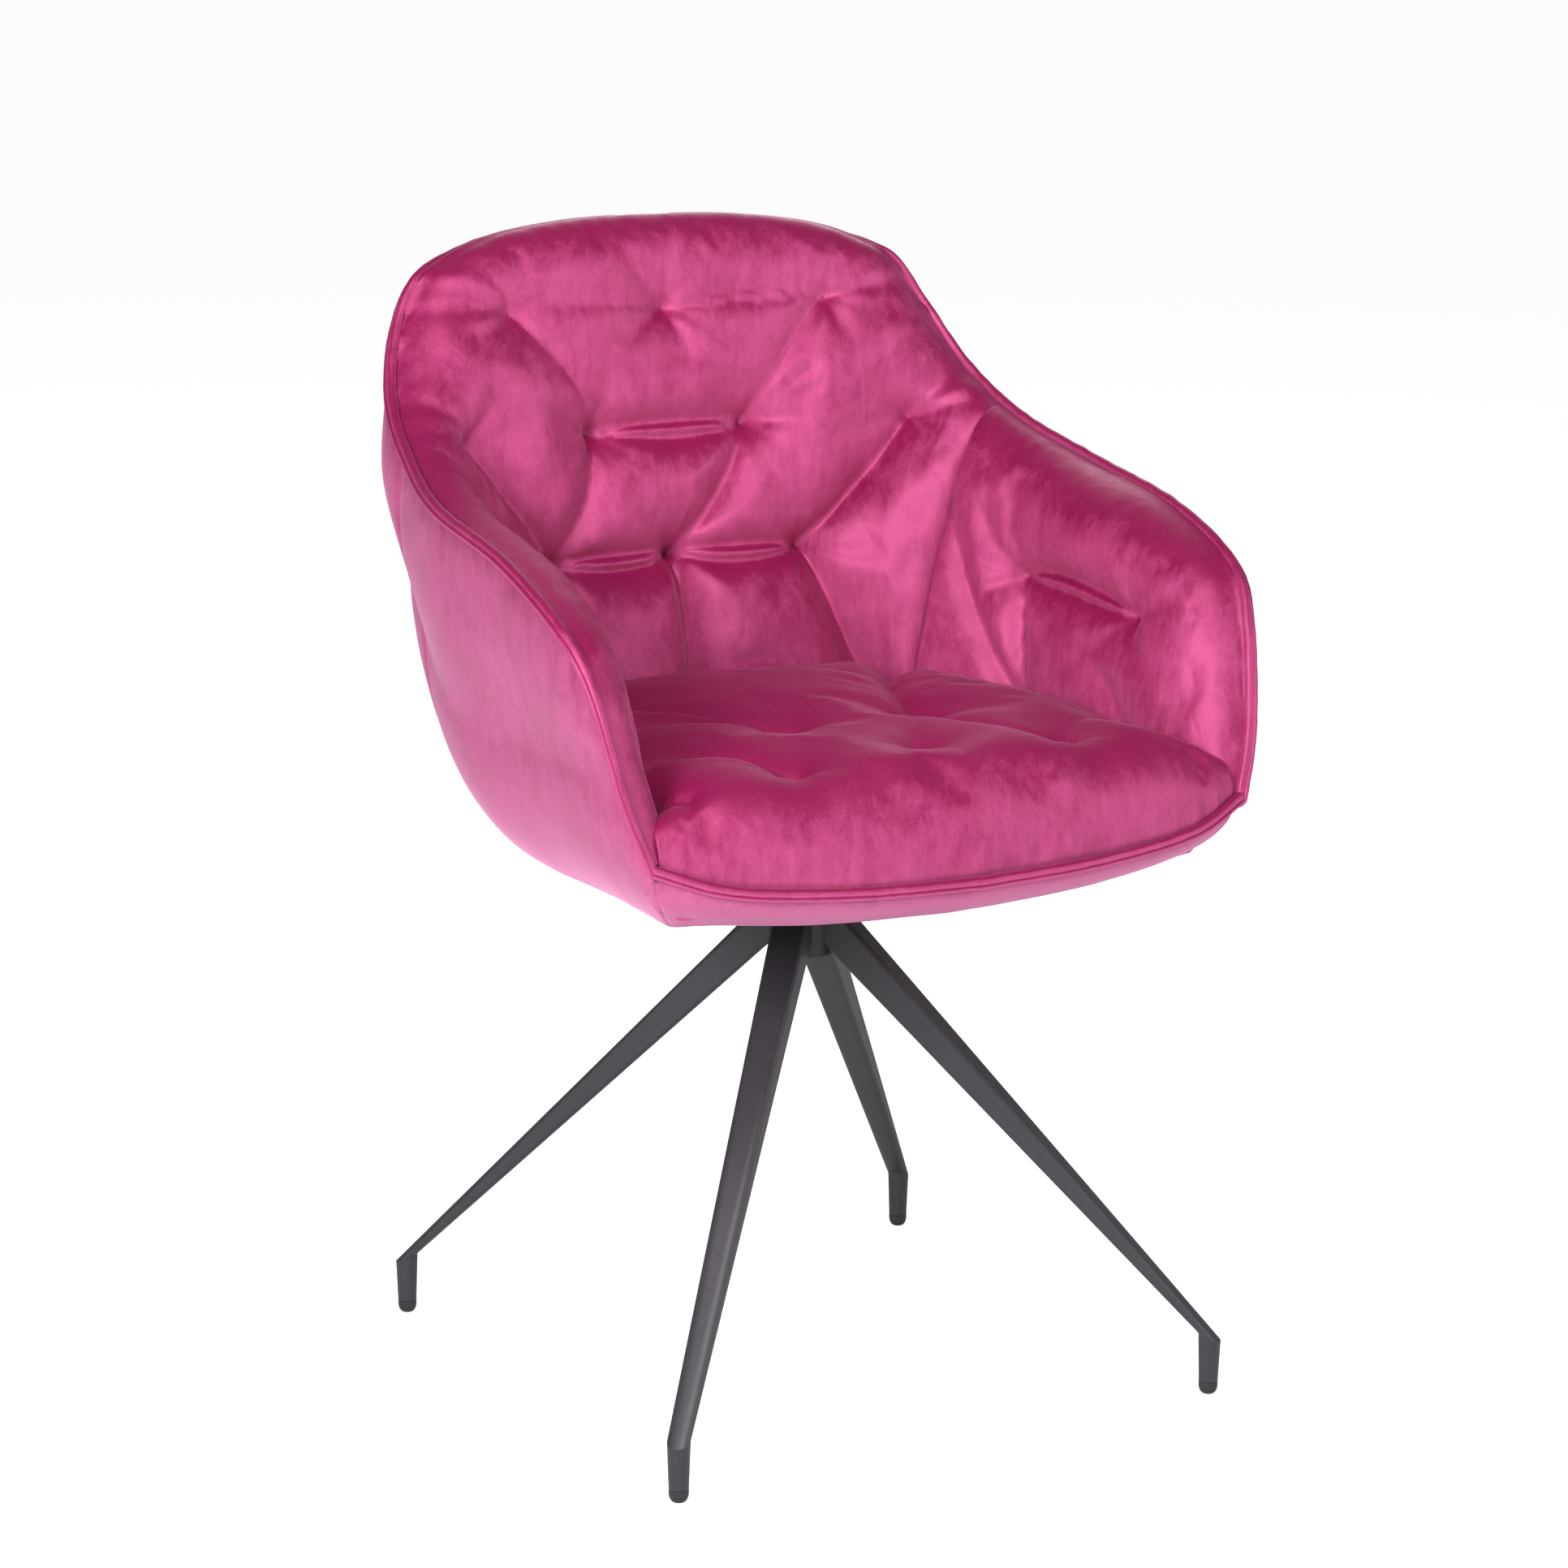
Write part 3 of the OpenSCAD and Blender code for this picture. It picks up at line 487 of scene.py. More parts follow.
# ---------- piping ----------
def sweep(name, path, radius, material, sides=12, seed=5):
    """A closed round cord along a path, with the small gathers that sewn piping has."""
    n = len(path)
    t = np.gradient(path, axis=0)
    t /= np.linalg.norm(t, axis=1, keepdims=True)
    side = np.cross(t, [0, 0, 1.0])
    weak = np.linalg.norm(side, axis=1) < 0.2
    side[weak] = np.cross(t[weak], [1.0, 0, 0])
    side /= np.linalg.norm(side, axis=1, keepdims=True)
    up = np.cross(side, t)
    s = run_length(path[:, None], 0)[:, 0]
    a = np.linspace(0, 2 * np.pi, sides, endpoint=False)
    gather = 1 + 0.045 * wave(np.stack([s, 0 * s, 0 * s], -1), 13, seed)[:, None] \
        + 0.02 * np.sin(a[None] * 2 + s[:, None] / 5)
    end = np.clip(np.minimum(s, s[-1] - s) / radius, 0, 1)[:, None]
    r = radius * gather * np.sqrt(np.clip(1 - (1 - end) ** 2, 0.02, 1))
    ring = path[:, None] + r[..., None] * (side[:, None] * np.cos(a)[None, :, None]
                                           + up[:, None] * np.sin(a)[None, :, None])
    index = np.arange(n * sides).reshape(n, sides)
    nxt = np.roll(index, -1, 1)
    faces = np.stack([index[:-1], nxt[:-1], nxt[1:], index[1:]], -1).reshape(-1, 4).tolist()
    faces += [index[0][::-1].tolist(), index[-1].tolist()]
    return mesh_object(name, ring.reshape(-1, 3), faces, material)


def hem_path(us, row_at, out, up, tucked=0.0):
    """Points beside the hem, moved outwards and up; over the back they may tuck behind the padding."""
    rows = row_at(us)
    behind = tucked * np.clip((3.4 - np.abs(us)) / 1.2, 0, 1)[:, None]
    behind = behind * behind * (3 - 2 * behind)
    p = rows[:, :3] + outward(rows) * (out + 2.4 * behind)
    p[:, 2:] += up - 5.0 * behind
    return p


def join(name, objs):
    """One object from several."""
    with bpy.context.temp_override(active_object=objs[0], object=objs[0], selected_objects=objs,
                                   selected_editable_objects=objs):
        bpy.ops.object.join()
    objs[0].name = name
    return objs[0]


def corner_tail(side, out, up, drop=6.5, count=9):
    """The last stretch of the arm's piping, turned down over the front corner."""
    rows = np.repeat(rim_row(np.array([side * (LAST - 0.001)])), count, 0)
    z = rows[:, 2] + up - np.linspace(1.2, drop, count)
    p = wall_points(rows, np.minimum(z, rows[:, 2] - 0.1), 0.0)
    ahead = np.linspace(0, 1, count)[:, None] ** 1.5
    p += outward(rows) * (out - ahead * (out + 0.5)) + ahead * [side * -1.5, -1.0, 0]
    p[:, 2] = z
    return p


def rim_path(out, up):
    """The arms' and back's piping line, with both of its ends turned down."""
    us = np.linspace(-LAST + 0.02, LAST - 0.02, 620)
    return np.concatenate([corner_tail(-1, out, up)[::-1], hem_path(us, rim_row, out, up, 1.0),
                           corner_tail(1, out, up)])


def run_past(path, extra=2.6):
    """A path whose two ends are carried straight on, to be buried in what they meet."""
    ends = [path[k] + (path[k] - path[near]) / np.linalg.norm(path[k] - path[near]) * extra
            for k, near in ((0, 1), (-1, -2))]
    return np.vstack([ends[0], path, ends[1]])


RIM_CORD_R, RIM_FOLD_R = 3.9, 2.1        # radii of the rim's thick cord and of the fold beside it
FRONT_CORD_R, FRONT_FOLD_R = 3.6, 1.7    # and of the seat front's
rim_piping = join("rim_piping", [
    sweep("rim_cord", rim_path(0.2, 0.6), RIM_CORD_R, WELT_VELVET, seed=51),
    sweep("rim_fold", rim_path(4.4, -1.6), RIM_FOLD_R, WELT_VELVET, sides=8, seed=52)])
front_us = np.linspace(-2.985, 2.985, 300)
front_piping = join("front_piping", [
    sweep("front_cord", run_past(hem_path(front_us, front_row, 1.2, 0.4)), FRONT_CORD_R, WELT_VELVET,
          seed=53),
    sweep("front_fold", run_past(hem_path(front_us, front_row, 3.6, -3.4)), FRONT_FOLD_R, WELT_VELVET,
          sides=8, seed=54)])
for piece, cad_name in ((rim_piping, "rim_welt"), (front_piping, "seat_welt")):
    smooth_once(piece)
    finish_piece(piece, "welt_velvet", cad_name)


# ---------- tufted pads ----------
def line_points(start, end, bow, count=12):
    """A line from start to end that bows sideways by bow at its middle."""
    t = np.linspace(0, 1, count)[:, None]
    start, end = np.asarray(start, float), np.asarray(end, float)
    side = np.array([-(end - start)[1], (end - start)[0]])
    side /= np.linalg.norm(side)
    return start + (end - start) * t + side * bow * 4 * t * (1 - t)


def to_line(flat, line):
    """Signed distance from each flat point to a line, and how far along it the nearest point lies."""
    best = np.full(flat.shape[:-1], 1e9)
    signed = np.zeros_like(best)
    place = np.zeros_like(best)
    for k in range(len(line) - 1):
        a, d = line[k], line[k + 1] - line[k]
        size = d @ d
        t = np.clip(((flat - a) @ d) / size, 0, 1)
        off = flat - a - t[..., None] * d
        dist = np.linalg.norm(off, axis=-1)
        turn = np.sign(d[0] * off[..., 1] - d[1] * off[..., 0])
        near = dist < best
        best = np.where(near, dist, best)
        signed = np.where(near, dist * turn, signed)
        place = np.where(near, (k + t) / (len(line) - 1), place)
    return signed, place


def tuft_depth(flat, pinches, creases, pinch_depth, spread):
    """Depth of the tufting under the pillows' tops, in millimetres, over flat points."""
    total = np.zeros(flat.shape[:-1])
    for x, y, share in pinches:
        r = np.linalg.norm(flat - np.array([x, y]), axis=-1)
        shape = 0.72 * np.exp(-(r / spread * 1.5) ** 0.9) + 0.28 * np.exp(-(r / spread / 1.7) ** 2)
        total += (pinch_depth * share * shape) ** 4
    for start, end, bow, d0, dm, d1, width, pleat in creases:
        d, t = to_line(flat, line_points(start, end, bow))
        deep = 1.25 * (dm + np.where(t < 0.5, d0 - dm, d1 - dm) * np.abs(2 * t - 1) ** 2.2)
        half = pleat * np.sin(np.pi * np.clip(t, 0, 1)) ** 0.8
        outside = np.maximum(np.abs(d) - half, 0)
        inside = np.where(half > 0.3, np.clip(1 - np.abs(d) / np.maximum(half, 0.3), 0, 1), 0)
        reach = np.sqrt(outside ** 2 + 0.6) / width
        valley = deep * (0.78 * np.exp(-reach / 1.15) + 0.22 * np.exp(-(reach / 2.4) ** 2))
        total += np.maximum(valley * (1 - 0.42 * np.sin(inside * np.pi / 2) ** 2), 0) ** 4
    return total ** 0.25


def pucker(flat, pinches, seed, size=1.3, reach=15):
    """Small folds that radiate from each pinch."""
    r_gen = np.random.default_rng(seed)
    total = np.zeros(flat.shape[:-1])
    for p in pinches:
        v = flat - np.array(p[:2])
        r = np.linalg.norm(v, axis=-1)
        a = np.arctan2(v[..., 1], v[..., 0])
        star = np.cos(5 * a + r_gen.uniform(0, 6)) + 0.7 * np.cos(9 * a + r_gen.uniform(0, 6))
        total += size * star * (r / reach) * np.exp(1 - r / reach - 0.4)
    return total


def settle(obj, pins, cap, frames=20, pressure=4.0):
    """Swells a pad as cloth under pressure, held at its pins, and keeps each move under cap metres."""
    start = np.empty(len(obj.data.vertices) * 3)
    obj.data.vertices.foreach_get("co", start)
    group = obj.vertex_groups.new(name="pins")
    levels = np.round(np.clip(pins, 0, 1) * 20) / 20
    for level in np.unique(levels):
        if level > 0:
            group.add(np.where(levels == level)[0].tolist(), float(level), "REPLACE")
    mod = obj.modifiers.new("cloth", "CLOTH")
    cloth = mod.settings
    cloth.quality = 5
    cloth.mass = 0.25
    cloth.tension_stiffness = cloth.compression_stiffness = 15
    cloth.shear_stiffness = 8
    cloth.bending_stiffness = 12
    cloth.air_damping = 3
    cloth.vertex_group_mass = "pins"
    cloth.pin_stiffness = 6
    cloth.shrink_min = -0.003
    cloth.use_pressure = True
    cloth.uniform_pressure_force = pressure
    cloth.effector_weights.gravity = 0
    mod.collision_settings.use_collision = False
    mod.collision_settings.use_self_collision = False
    scene = bpy.context.scene
    for number in range(1, frames + 1):
        scene.frame_set(number)
    done = obj.evaluated_get(bpy.context.evaluated_depsgraph_get()).data
    end = np.empty_like(start)
    done.vertices.foreach_get("co", end)
    move = (end - start).reshape(-1, 3)
    size = np.linalg.norm(move, axis=1, keepdims=True)
    move *= np.minimum(1, cap / np.maximum(size, 1e-9))
    obj.modifiers.remove(mod)
    obj.vertex_groups.remove(group)
    scene.frame_set(1)
    obj.data.vertices.foreach_set("co", start + move.ravel())
    obj.data.update()
    print(f"settled {obj.name}: mean {size.mean() / MM:.1f} mm, most {size.max() / MM:.1f} mm")


hem_u = np.linspace(-LAST, LAST, 961)
hem_rows = rim_row(hem_u)
HEM_S = np.concatenate([[0], np.cumsum(np.linalg.norm(np.diff(hem_rows[:, :2], axis=0), axis=1))])
HEM_S -= HEM_S[len(HEM_S) // 2]
HEM_LINE = np.stack([HEM_S, hem_rows[:, 2]], -1)
mid_face = (hem_rows[:, [7, 8]] + hem_rows[:, [9, 10]]) / 2
FACE_S = np.concatenate([[0], np.cumsum(np.linalg.norm(np.diff(mid_face, axis=0), axis=1))])
FACE_S -= FACE_S[len(FACE_S) // 2]


def rim_distance(u, z):
    """Distance to the hem over the unrolled shell, with the direction away from it."""
    flat = np.stack([np.interp(u, hem_u, HEM_S), z], -1)
    best = np.full(flat.shape[:-1], 1e9)
    away = np.zeros_like(flat)
    line = HEM_LINE[::4]
    for a, b in zip(line[:-1], line[1:]):
        d = b - a
        t = np.clip(((flat - a) @ d) / (d @ d), 0, 1)
        off = flat - a - t[..., None] * d
        dist = np.linalg.norm(off, axis=-1)
        near = dist < best
        best = np.where(near, dist, best)
        away = np.where(near[..., None], -off / np.maximum(dist, 1e-6)[..., None], away)
    return best, away


ROLL = 56          # distance from the hem over which the padding rolls in
CROWN = 8          # how far the padding stands above the hem
FACE_DROP = 55     # the inner face's upper points lie this far below the hem
FACE_LOWEST = 490  # but no lower than this height
SPREAD_DROP = 215  # height over which the seams between the pads move from their upper to their lower rows
PAD_FLOOR = 436    # foot of the arm and back pads
PAD_CAP = 0.006    # most that the cloth may move a point of a pad, in metres


def face_point(rows, z):
    """The padding's inner face, straight between its two stated points."""
    top = np.maximum(rows[..., 2] - FACE_DROP, FACE_LOWEST)
    t = np.clip((z - SEAT_LINE) / np.maximum(40, top - SEAT_LINE), -0.25, 1.25)
    return np.stack([rows[..., 9] + (rows[..., 7] - rows[..., 9]) * t,
                     rows[..., 10] + (rows[..., 8] - rows[..., 10]) * t, z], -1)


def pad_grid(u_top, u_low, n_down):
    """Base surface of an arm or back pad: its grid of points, rim rows, u and distances to the hem."""
    v = np.linspace(0, 1, n_down)
    v = v - 0.9 * v * (1 - v) ** 7
    top_rows = rim_row(u_top)
    z = top_rows[:, 2:3] + (PAD_FLOOR - top_rows[:, 2:3]) * v[None]
    u = u_top[:, None] + (u_low - u_top)[:, None] * np.clip((top_rows[:, 2:3] - z) / SPREAD_DROP, 0, 1)
    rows = rim_row(u)
    z = np.minimum(z, rows[..., 2])
    dist, away = rim_distance(u, z)
    dist = np.maximum(dist - dist[:, :1], 0)
    roll = np.minimum(ROLL, 26 + 0.22 * np.maximum(rows[..., 2] - 459, 0))
    s = np.clip(dist / roll, 0, 1)
    g = np.sqrt(1 - (1 - s) ** 2)
    inner = face_point(rows, z)
    hem = rows[..., :3].copy()
    hem[..., 2] = z
    hem[..., :2] -= outward(rows)[..., :2] * 1.4
    p = hem * (1 - g[..., None]) + inner * g[..., None]
    tangent = np.gradient(rows[..., :2], axis=0)
    tangent /= np.maximum(np.linalg.norm(tangent, axis=-1, keepdims=True), 1e-9)
    lift = CROWN * 2.6 * np.sqrt(s) * (1 - s) - 1.5 * np.exp(-dist / 2.2)
    p[..., :2] += tangent * (away[..., :1] * lift[..., None])
    p[..., 2] += away[..., 1] * lift
    return p, rows, u, z, dist


STITCHES = []        # where each tuft's thread crosses the cloth: a point and the cloth's direction there


def note_stitches(obj, shape, flat, pins, normals):
    """Keeps the bottom of each pinch of a finished pad."""
    for pin in pins:
        i, j = np.unravel_index(np.argmin(np.linalg.norm(flat - np.array(pin[:2]), axis=-1)), shape)
        spot = np.array(obj.data.vertices[int(i * shape[1] + j)].co) / MM
        STITCHES.append((spot + normals[i, j] * 1.2, normals[i, j]))


def make_pad(name, cad_name, u_top, u_low, n_down, pinches, creases, depth, spread, key, seed):
    """A tufted arm or back pad, its pattern stated along x or y (key) and z."""
    p, rows, u, z, dist = pad_grid(u_top, u_low, n_down)
    n = grid_normals(p)
    if np.einsum("ijk,ijk->ij", n[..., :2], rows[..., :2]).mean() > 0:
        n = -n
    lookup = mid_face[:, key]
    span = (hem_u >= u_top.min() - 0.8) & (hem_u <= u_top.max() + 0.8)
    order = np.argsort(lookup[span])

    def flat_of(q):
        return (np.interp(q[0], lookup[span][order], FACE_S[span][order]), *q[1:])

    flat = np.stack([np.interp(u, hem_u, FACE_S), z], -1)
    pins = [flat_of(q) for q in pinches]
    lines = [(flat_of(c[0]), flat_of(c[1]), *c[2:]) for c in creases]
    deep = tuft_depth(flat, pins, lines, depth, spread) * np.clip(dist / 42, 0, 1) ** 0.8
    along = run_length(p, 0)
    end = np.minimum(along, along[-1:] - along)
    seam = 11 * np.exp(-(end / 9.0) ** 0.9) * np.clip(dist / 30, 0.06, 1)
    calm = np.clip(dist / 40, 0, 1)
    lift = 2.2 * calm * wave(p, 120, seed) + 0.7 * calm * wave(p, 42, seed + 1)
    lift += pucker(flat, pins, seed + 2)
    s_hem = np.interp(u, hem_u, HEM_S)
    lift += 1.3 * wave(np.stack([s_hem * 2.6, dist * 0.5, 0 * dist], -1), 48, seed + 3) \
        * (dist / 9) * np.exp(1 - dist / 9) * 0.3
    face = p + n * (lift - deep - seam)[..., None]
    sink = 5 + 12.5 * np.clip(dist / 24, 0, 1)
    back = wall_points(rows, z - 2, sink)
    obj = slab_mesh(name, face, back, PAD_VELVET)
    hold = np.exp(-(deep / depth - 1) ** 2 / 0.02) + 0.8 * np.clip(deep / depth, 0, 1)
    hold += np.exp(-dist / 8) + np.exp(-end / 8) + np.clip((500 - z) / 20, 0, 1)
    pins_all = np.concatenate([np.clip(hold, 0, 1).ravel(), np.ones(hold.size)])
    settle(obj, pins_all, PAD_CAP)
    note_stitches(obj, flat.shape[:2], flat, pins, n)
    smooth_once(obj)
    finish_piece(obj, "pad_velvet", cad_name)


# Each crease: start, end, sideways bow, depth at its start, middle and end, width, and the half width
# of the pleat that stands in it.
BACK_CREASES = [
    ((-61, 698), (61, 698), -3, 26, 19, 26, 11, 5.5),
    ((-107, 600), (0, 601), -4, 28, 20, 28, 11, 5.5),
    ((0, 601), (107, 600), -4, 28, 20, 28, 11, 6),
    ((-165, 702), (-107, 600), -6, 26, 16, 26, 10, 0),
    ((-61, 698), (-107, 600), 5, 26, 17, 26, 10, 0),
    ((61, 698), (0, 601), 7, 26, 19, 26, 10, 0),
    ((165, 702), (107, 600), 6, 28, 22, 28, 10, 0),
    ((-61, 698), (0, 601), -3, 12, 3, 15, 9, 0),
    ((61, 698), (107, 600), -3, 12, 4, 15, 9, 0),
    ((-113, 790), (-61, 698), 4, 18, 8, 20, 10, 0),
    ((113, 790), (61, 698), -4, 18, 9, 22, 10, 0),
    ((0, 788), (113, 790), 5, 14, 6, 14, 8, 3),
    ((-113, 790), (0, 788), 5, 12, 4, 12, 8, 0),
    ((0, 601), (2, 470), 5, 30, 28, 32, 11, 0),
    ((107, 600), (158, 470), 4, 30, 26, 30, 11, 0),
    ((-107, 600), (-158, 470), -4, 30, 25, 30, 11, 0),
    ((0, 601), (30, 470), -6, 16, 7, 10, 8, 0),
    ((158, 474), (96, 508), 5, 16, 9, 0, 7, 0),
    ((158, 474), (120, 530), -3, 14, 7, 0, 7, 0),
    ((61, 698), (112, 742), 3, 18, 9, 0, 6, 0),
    ((61, 698), (90, 760), -2, 16, 8, 0, 5, 0),
    ((61, 698), (118, 724), 3, 15, 7, 0, 6, 0),
    ((165, 702), (186, 748), 3, 18, 9, 0, 6, 0),
    ((165, 702), (206, 724), -3, 17, 9, 0, 6, 0),
    ((165, 702), (200, 744), 3, 14, 6, 0, 5, 0),
    ((-165, 702), (-192, 738), 3, 18, 9, 0, 6, 0),
    ((-165, 702), (-208, 720), -2, 17, 9, 0, 5, 0),
    ((-165, 702), (-208, 702), 2, 15, 7, 0, 5, 0),
    ((-165, 702), (-186, 660), -3, 16, 7, 0, 7, 0),
    ((0, 788), (-44, 800), 3, 11, 4, 0, 6, 0),
    ((0, 788), (46, 778), 3, 11, 4, 0, 6, 0),
    ((113, 790), (146, 800), 3, 11, 4, 0, 6, 0),
    ((-113, 790), (-140, 800), 3, 11, 4, 0, 6, 0),
    ((0, 601), (-28, 560), 2, 14, 5, 0, 6, 0),
    ((0, 601), (24, 556), -2, 12, 4, 0, 6, 0),
    ((107, 600), (112, 545), -3, 14, 5, 0, 7, 0),
    ((40, 512), (110, 500), 5, 4, 6, 3, 8, 0),
]
ARM_CREASES = [
    ((46, 585), (-90, 574), 5, 19, 14, 17, 9, 6),
    ((46, 585), (34, 470), 4, 20, 15, 18, 8, 0),
    ((118, 640), (38, 490), -6, 3, 10, 16, 7, 0),
    ((46, 585), (84, 640), 3, 14, 6, 0, 8, 0),
    ((46, 585), (58, 656), -4, 12, 5, 0, 9, 0),
    ((46, 585), (78, 560), 2, 9, 3, 0, 7, 0),
    ((-90, 574), (-116, 546), 3, 14, 6, 0, 7, 0),
    ((-90, 574), (-98, 530), -2, 10, 4, 0, 7, 0),
    ((-70, 530), (-112, 490), 3, 3, 6, 8, 8, 0),
    ((-90, 574), (-122, 600), 2, 8, 3, 0, 8, 0),
]


def mirror_creases(creases):
    """The same pattern, bowed the other way, for the opposite side."""
    return [(a, b, -bow, *rest) for a, b, bow, *rest in creases]


ARM_COLS, ARM_ROWS = 92, 90
BACK_COLS, BACK_ROWS = 168, 124
ARM_TUFT, ARM_SPREAD = 25, 20        # depth and reach of the arms' pinches
BACK_TUFT, BACK_SPREAD = 36, 22      # and of the back's
ALONG_X, ALONG_Y = 0, 1              # which coordinate a pad's pattern is stated in
PAD_LAP = 0.04                       # how far the pads run past each other at the seams, in rim rows
arm_top = np.linspace(-LAST + 0.03, -SEAM_U + PAD_LAP, ARM_COLS)
arm_low = np.linspace(-LAST + 0.03, -(LAST - ARM_LOW), ARM_COLS)
make_pad("arm_cushion_left", "arm_pad_left", arm_top, arm_low, ARM_ROWS, ARM_PINCH,
         mirror_creases(ARM_CREASES), ARM_TUFT, ARM_SPREAD, ALONG_Y, 61)
make_pad("arm_cushion_right", "arm_pad_right", -arm_top[::-1], -arm_low[::-1], ARM_ROWS, ARM_PINCH,
         ARM_CREASES, ARM_TUFT, ARM_SPREAD, ALONG_Y, 71)
back_top = np.linspace(-SEAM_U - PAD_LAP, SEAM_U + PAD_LAP, BACK_COLS)
back_low = back_top * (LAST - ARM_LOW) / SEAM_U
make_pad("back_cushion", "back_pad", back_top, back_low, BACK_ROWS, BACK_PINCH, BACK_CREASES,
         BACK_TUFT, BACK_SPREAD, ALONG_X, 81)


# ---------- seat cushion ----------
SEAT_CREASES = [
    ((-114, -184), (-208, -92), -20, 18, 10, 12, 8, 0),
    ((-56, -75), (-190, -8), -16, 16, 9, 12, 8, 0),
    ((56, -75), (150, 118), 10, 16, 11, 16, 8, 0),
    ((56, -75), (114, -184), -14, 14, 6, 14, 8, 0),
    ((114, -184), (202, -130), 10, 12, 3, 5, 8, 0),
    ((-56, -75), (-130, 60), 8, 9, 4, 7, 9, 0),
    ((0, -172), (56, -75), 6, 8, 2, 8, 8, 0),
    ((-206, -196), (-222, -150), 3, 8, 6, 0, 6, 0),
]
SEAT_COLS, SEAT_ROWS = 132, 112
NOSE = 58            # depth of the rolled front edge
SEAT_TOP = 514
REAR_Y = 158         # rear edge, under the back pad
REAR_HALF_D = 22     # how far that edge curves forward at its ends
FLAT_SHARE = 0.74    # share of the rows that lie on top, before the nose
SEAT_TUFT = 29       # depth of its pinches
SEAT_HOLD = 25       # depth at which the cloth is held fast
SEAT_CAP = 0.005     # most that the cloth may move a point, in metres


def seat_half_width(y):
    """Half width of the seat between the arms and the back, at depth y."""
    u = np.linspace(0.0, LAST, 400)
    rows = catmull(RIM, u)
    return np.interp(y, rows[:, 10], rows[:, 9])


def make_seat():
    """The seat cushion: a crowned, tufted top that rolls over the front to its piping."""
    a = np.linspace(-1, 1, SEAT_COLS)
    a = a * (1.12 - 0.12 * a ** 2)
    b = np.linspace(0, 1, SEAT_ROWS)
    front_u = a * 2.93
    front = front_row(front_u)
    hem = front[:, :2] - outward(front)[:, :2] * 2.0
    rear_y = REAR_Y - REAR_HALF_D * np.abs(a) ** 3
    s = np.clip(b / FLAT_SHARE, 0, 1)
    phi = np.clip((b - FLAT_SHARE) / (1 - FLAT_SHARE), 0, 1) * np.pi / 2
    nose_y = hem[:, 1] + NOSE
    y = rear_y[:, None] + (nose_y - rear_y)[:, None] * s[None]
    y = y - NOSE * np.sin(phi)[None]
    x = a[:, None] * (seat_half_width(np.clip(y, -212, 154)) + 4)
    blend = (np.sin(phi)[None] ** 2) * np.ones_like(x)
    x = x * (1 - blend) + hem[:, 0:1] * blend
    z_hem = front[:, 2:3] - 1.5
    z = z_hem + (SEAT_TOP - z_hem) * np.cos(phi)[None] ** 0.85
    side = np.clip(np.abs(a), 0, 1)[:, None]
    z = z - 26 * side ** 9 * (1 - blend) + 7 * (1 - side ** 2) * (1 - blend)
    rear = np.clip((y - 60) / 98, 0, 1)
    z = z - 20 * rear ** 3
    grid = np.stack([x, y, z], -1)
    n = grid_normals(grid)
    if n[..., 2].mean() < 0:
        n = -n
    flat = grid[..., :2]
    deep = tuft_depth(flat, SEAT_PINCH, SEAT_CREASES, SEAT_TUFT, 20)
    top = 1 - blend
    lift = 1.6 * wave(grid, 130, 91) + 0.6 * wave(grid, 45, 92) * top
    lift += pucker(flat, SEAT_PINCH, 93, 0.8, 12)
    hem_gap = np.linalg.norm(grid - np.concatenate([hem, z_hem], 1)[:, None], axis=-1)
    lift += 0.8 * wave(np.stack([x * 2.4, hem_gap * 0.5, 0 * x], -1), 46, 94) \
        * (hem_gap / 7) * np.exp(-hem_gap / 7)
    lift -= 2.5 * np.exp(-hem_gap / 2.5)
    face = grid + n * (lift - deep)[..., None]
    floor = grid * [0.9, 0.9, 0] + [0, -4, BOARD_Z + 21.5]
    obj = slab_mesh("seat_cushion", face, floor, PAD_VELVET)
    hold = np.exp(-(deep / SEAT_HOLD - 1) ** 2 / 0.02) + np.clip(1.4 * deep / SEAT_HOLD, 0, 1)
    hold += np.exp(-hem_gap / 8)
    hold += np.clip((side - 0.9) * 10, 0, 1) + np.clip(rear * 3 - 2, 0, 1)
    settle(obj, np.concatenate([np.clip(hold, 0, 1).ravel(), np.ones(hold.size)]), SEAT_CAP)
    note_stitches(obj, flat.shape[:2], flat, SEAT_PINCH, n)
    smooth_once(obj)
    finish_piece(obj, "pad_velvet", "seat_pad")


make_seat()


